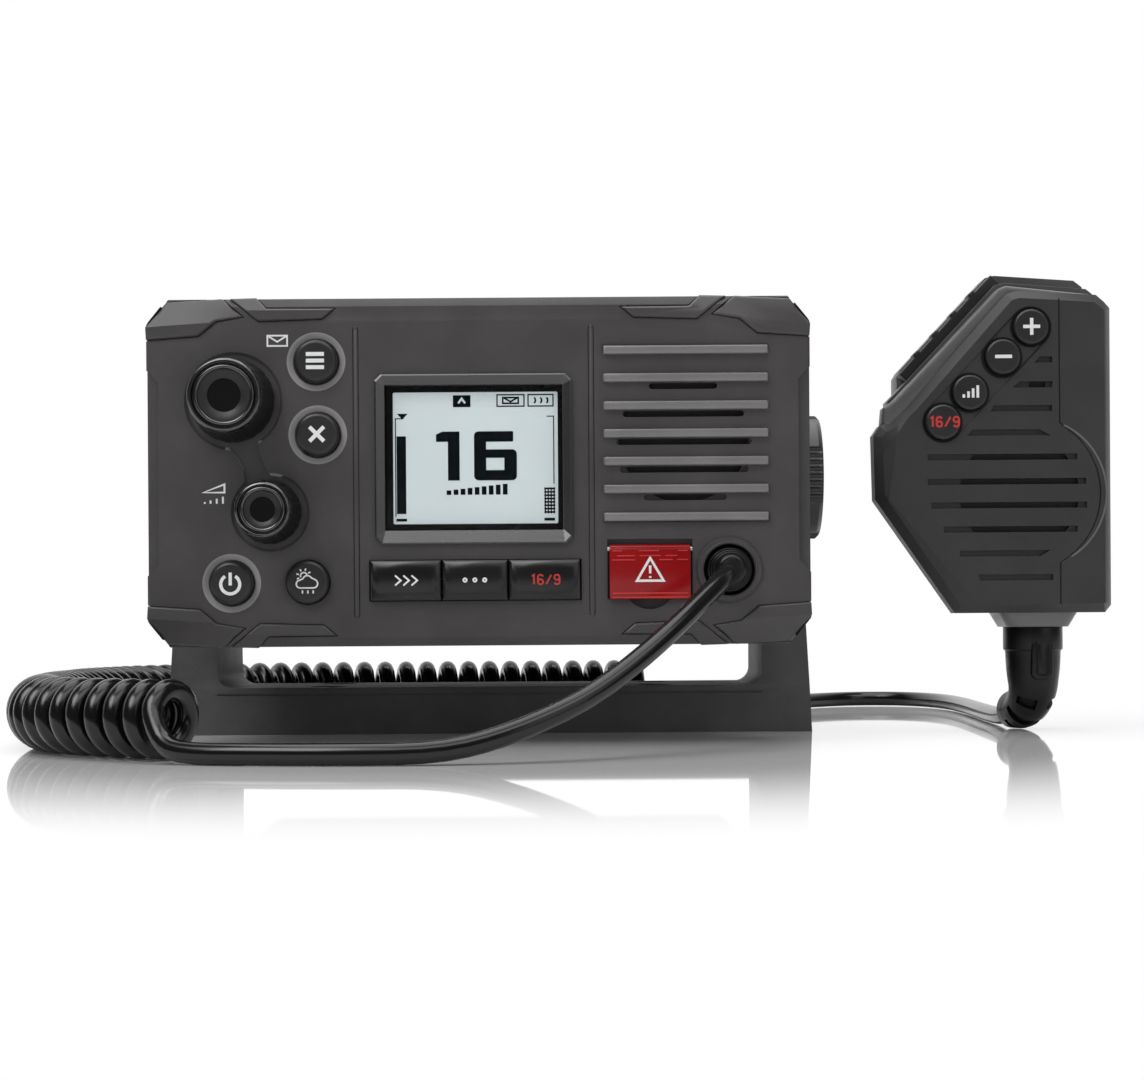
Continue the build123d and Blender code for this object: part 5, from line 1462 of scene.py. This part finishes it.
@dataclass
class StrainRelief:
    """The bent rubber boot under the microphone, with its window and slots."""

    at: Point2 = (148.1, -24.5)
    top: float = 27.8
    step: float = 21.7
    radius: float = 8.0
    waist: float = 7.45
    bend: float = 8.0
    bend_radius: float = 6.8
    end_radius: float = 5.2
    low: float = 5.3
    tip: float = 3.0
    turn: float = 110.5
    facets: int = 72
    steps: int = 26
    slot_spans: tuple[tuple[int, int, tuple[int, int, int, int]], ...] = (
        (6, 10, (-72, -14, 14, 80)), (15, 19, (-90, -90, 78, 90)), (23, 26, (-60, -10, 16, 75)),
    )  # first and last ring, and angles from which and up to which there are slots
    slot_inset: Point2 = (0.12, 0.1)
    slot_depth: float = 1.1
    window_turn: float = -82
    window_height: float = 19.4
    window_sink: float = 0.35
    window_plates: tuple[tuple[Sides, float, Point2, float, int, int], ...] = (
        ((-3.0, 3.0, -5.6, 5.4), 2.0, (-1.6, 0.75), 0.4, 3, 0),
        ((-2.0, 2.0, -4.6, 4.4), 1.2, (0.5, 0.8), 0.0, 2, 1),
        ((-1.45, 0.9, -4.0, 4.1), 0.7, (0.6, 0.95), 0.12, 2, 0),
    )  # sides, corner radius, back and front, bevel, its segments and finish

    def stations(self) -> list[tuple[Vector, Vector, float]]:
        """Returns middle, heading and radius of each ring, in millimetres, from the top down."""
        x, y = self.at
        straight = [
            (29.0, 7.6), (28.9, 7.8), (28.2, self.radius), (22.3, self.radius), (21.9, self.radius - 0.1),
            (self.step, self.waist + 0.1), (21.4, self.waist), (19.0, 7.35), (16.6, 7.2), (14.9, 7.0),
        ]
        rings = [(Vector((x, y, height)), Vector((0, 0, -1)), radius) for height, radius in straight]
        out_x, out_y = cos(radians(self.turn)), sin(radians(self.turn))
        for step in range(self.steps + 1):
            share = step / self.steps
            swing = radians(90 * share)
            out = self.bend * (1 - cos(swing))
            centre = Vector((x + out_x * out, y + out_y * out, self.low + self.bend * (1 - sin(swing))))
            heading = Vector((out_x * sin(swing), out_y * sin(swing), -cos(swing)))
            rings.append((centre, heading, self.bend_radius + (self.end_radius - self.bend_radius) * share))
        centre, heading, _ = rings[-1]
        tip = ((self.tip * 0.8, self.end_radius), (self.tip, self.end_radius - 0.4), (self.tip, 2.4))
        for along, radius in tip:
            rings.append((centre + heading * along, heading, radius))
        return rings

    def build(self) -> None:
        """Builds the boot."""
        boot = Piece("strain_relief_moulded", RELIEF, GROOVE, node="mic_strain_relief")
        across = Vector((-sin(radians(self.turn)), cos(radians(self.turn)), 0))
        loops = []
        for centre, heading, radius in self.stations():
            other = heading.cross(across)
            ring = [boot.mesh.verts.new((centre + (across * cos(turn) + other * sin(turn)) * radius) * MM)
                    for turn in (tau * step / self.facets for step in range(self.facets))]
            loops.append([boot.mesh.edges.new((one, two)) for one, two in zip(ring, ring[1:] + ring[:1])])
        for upper, lower in zip(loops, loops[1:]):
            bmesh.ops.bridge_loops(boot.mesh, edges=upper + lower)
        for loop in (loops[0], loops[-1]):
            bmesh.ops.edgeloop_fill(boot.mesh, edges=loop)
        bmesh.ops.recalc_face_normals(boot.mesh, faces=boot.mesh.faces)
        self.slots(boot)
        self.window(boot)
        boot.done(smooth=40)

    def slots(self, boot: Piece) -> None:
        """Sinks the flexing slots into the bend."""
        rim, draft = (width * MM for width in self.slot_inset)
        for first, last, gaps in self.slot_spans:
            chosen = [one for one in boot.mesh.faces
                      if len(one.verts) == 4 and self.in_slot(one, first, last, gaps)]
            if chosen:
                bmesh.ops.inset_region(boot.mesh, faces=chosen, thickness=rim, depth=0, use_even_offset=True)
                bmesh.ops.inset_region(boot.mesh, faces=chosen, thickness=draft,
                                       depth=-self.slot_depth * MM, use_even_offset=True)
                for one in chosen:
                    one.material_index = 1

    def in_slot(self, face: bmesh.types.BMFace, first: int, last: int,
                gaps: tuple[int, int, int, int]) -> bool:
        """Tells whether a face lies in a slot, by its ring and its angle round the boot.

        Args:
            face: The face.
            first: First ring of the bend that the slot covers.
            last: Last ring.
            gaps: Angles, in degrees from the viewer's side, from which and up to which there are slots.
        """
        place = face.calc_center_median() / MM
        x, y = self.at
        out_x, out_y = cos(radians(self.turn)), sin(radians(self.turn))
        pivot = Vector((x + out_x * self.bend, y + out_y * self.bend, self.low + self.bend))
        along = -((place.x - pivot.x) * out_x + (place.y - pivot.y) * out_y)
        ring = degrees(atan2(pivot.z - place.z, along)) / 90 * self.steps
        side = (place.x - pivot.x) * -sin(radians(self.turn)) + (place.y - pivot.y) * cos(radians(self.turn))
        angle = degrees(atan2(-side, sqrt(along ** 2 + (pivot.z - place.z) ** 2) - self.bend))
        low, inner_low, inner_high, high = gaps
        split = low < inner_low < inner_high
        bridged = split and inner_low < angle < inner_high
        return first <= ring <= last and low <= angle <= high and not bridged

    def window(self, boot: Piece) -> None:
        """Adds the raised oval with its sunk window, right of the middle."""
        lean = radians(self.window_turn)
        across = Vector((-sin(lean), cos(lean), 0))
        out = Vector((cos(lean), sin(lean), 0))
        centre = Vector((*self.at, self.window_height)) + out * (self.waist - self.window_sink)
        place = Matrix.Scale(MM, 4) @ Matrix((
            (across.x, 0, out.x, centre.x), (across.y, 0, out.y, centre.y), (0, 1, 0, centre.z), (0, 0, 0, 1),
        ))
        for sides, corner, (back, front), bevel, segments, finish in self.window_plates:
            boot.plate(rounded_box(*sides, corner), place, back, front, bevel, segments, finish)


# ---------------------------------------------------------------- bracket
@dataclass
class Bracket:
    """The gimbal yoke and its clamp knobs."""

    def build(self) -> None:
        """Builds the bracket."""
        softened("gimbal_yoke", BRACKET, width=0.7, segments=3).done()
        for node in ("clamp_knob_left", "clamp_knob_right"):
            softened(node, KNOB_SOFT, width=0.35, segments=3).done(smooth=30)


# ---------------------------------------------------------------- plain nodes
SLOT_FINISHES: dict[str, Finish] = {
    "case_plastic": CASE, "case_dark": GROOVE, "grille_plastic": GRILLE, "bracket_plastic": BRACKET,
    "knob_plastic": KNOB_GLOSS, "key_rubber": KEY_RUBBER, "flap_red": FLAP_RED, "distress_red": KEY_RED,
    "screen_frame": SCREEN_FRAME, "lens": GLASS, "lcd": SCREEN_MASK, "cord_rubber": RELIEF,
    "mic_plastic": MIC_PLASTIC, "mic_rubber": MIC_RUBBER, "die_cast": CHASSIS, "steel": STEEL, "brass": BRASS,
    "washer_plastic": NYLON, "socket_plastic": NYLON, "board": BOARD, "speaker_cone": CONE,
}


def dress_nodes() -> None:
    """Gives every CAD node that still shows the finish of its slot."""
    for node, holder in frame["nodes"].items():
        finish = SLOT_FINISHES[slot_of(node)]
        holder.data.materials.clear()
        holder.data.materials.append(finish.material())
        LOG.info("%s: %s", node, finish.name)


def main() -> None:
    """Builds the studio and every piece."""
    logging.basicConfig(level=logging.INFO, format="%(name)s: %(message)s")
    Studio().build()
    StrainRelief().build()
    CurlyCord().build()
    Housing().build()
    Knob("channel_knob", (-59.6, 17.4), 10.2, 8.5, 6.8, 4.0).build()
    Knob("volume_knob", (-50.8, -9.7), 7.8, 6.35, 5.0, 3.0, height=14.0).build()
    FrontKeys().build()
    Screen().build()
    DistressFlap().build()
    CordGland().build()
    Microphone().build()
    Bracket().build()
    dress_nodes()


if __name__ == "__main__":
    main()
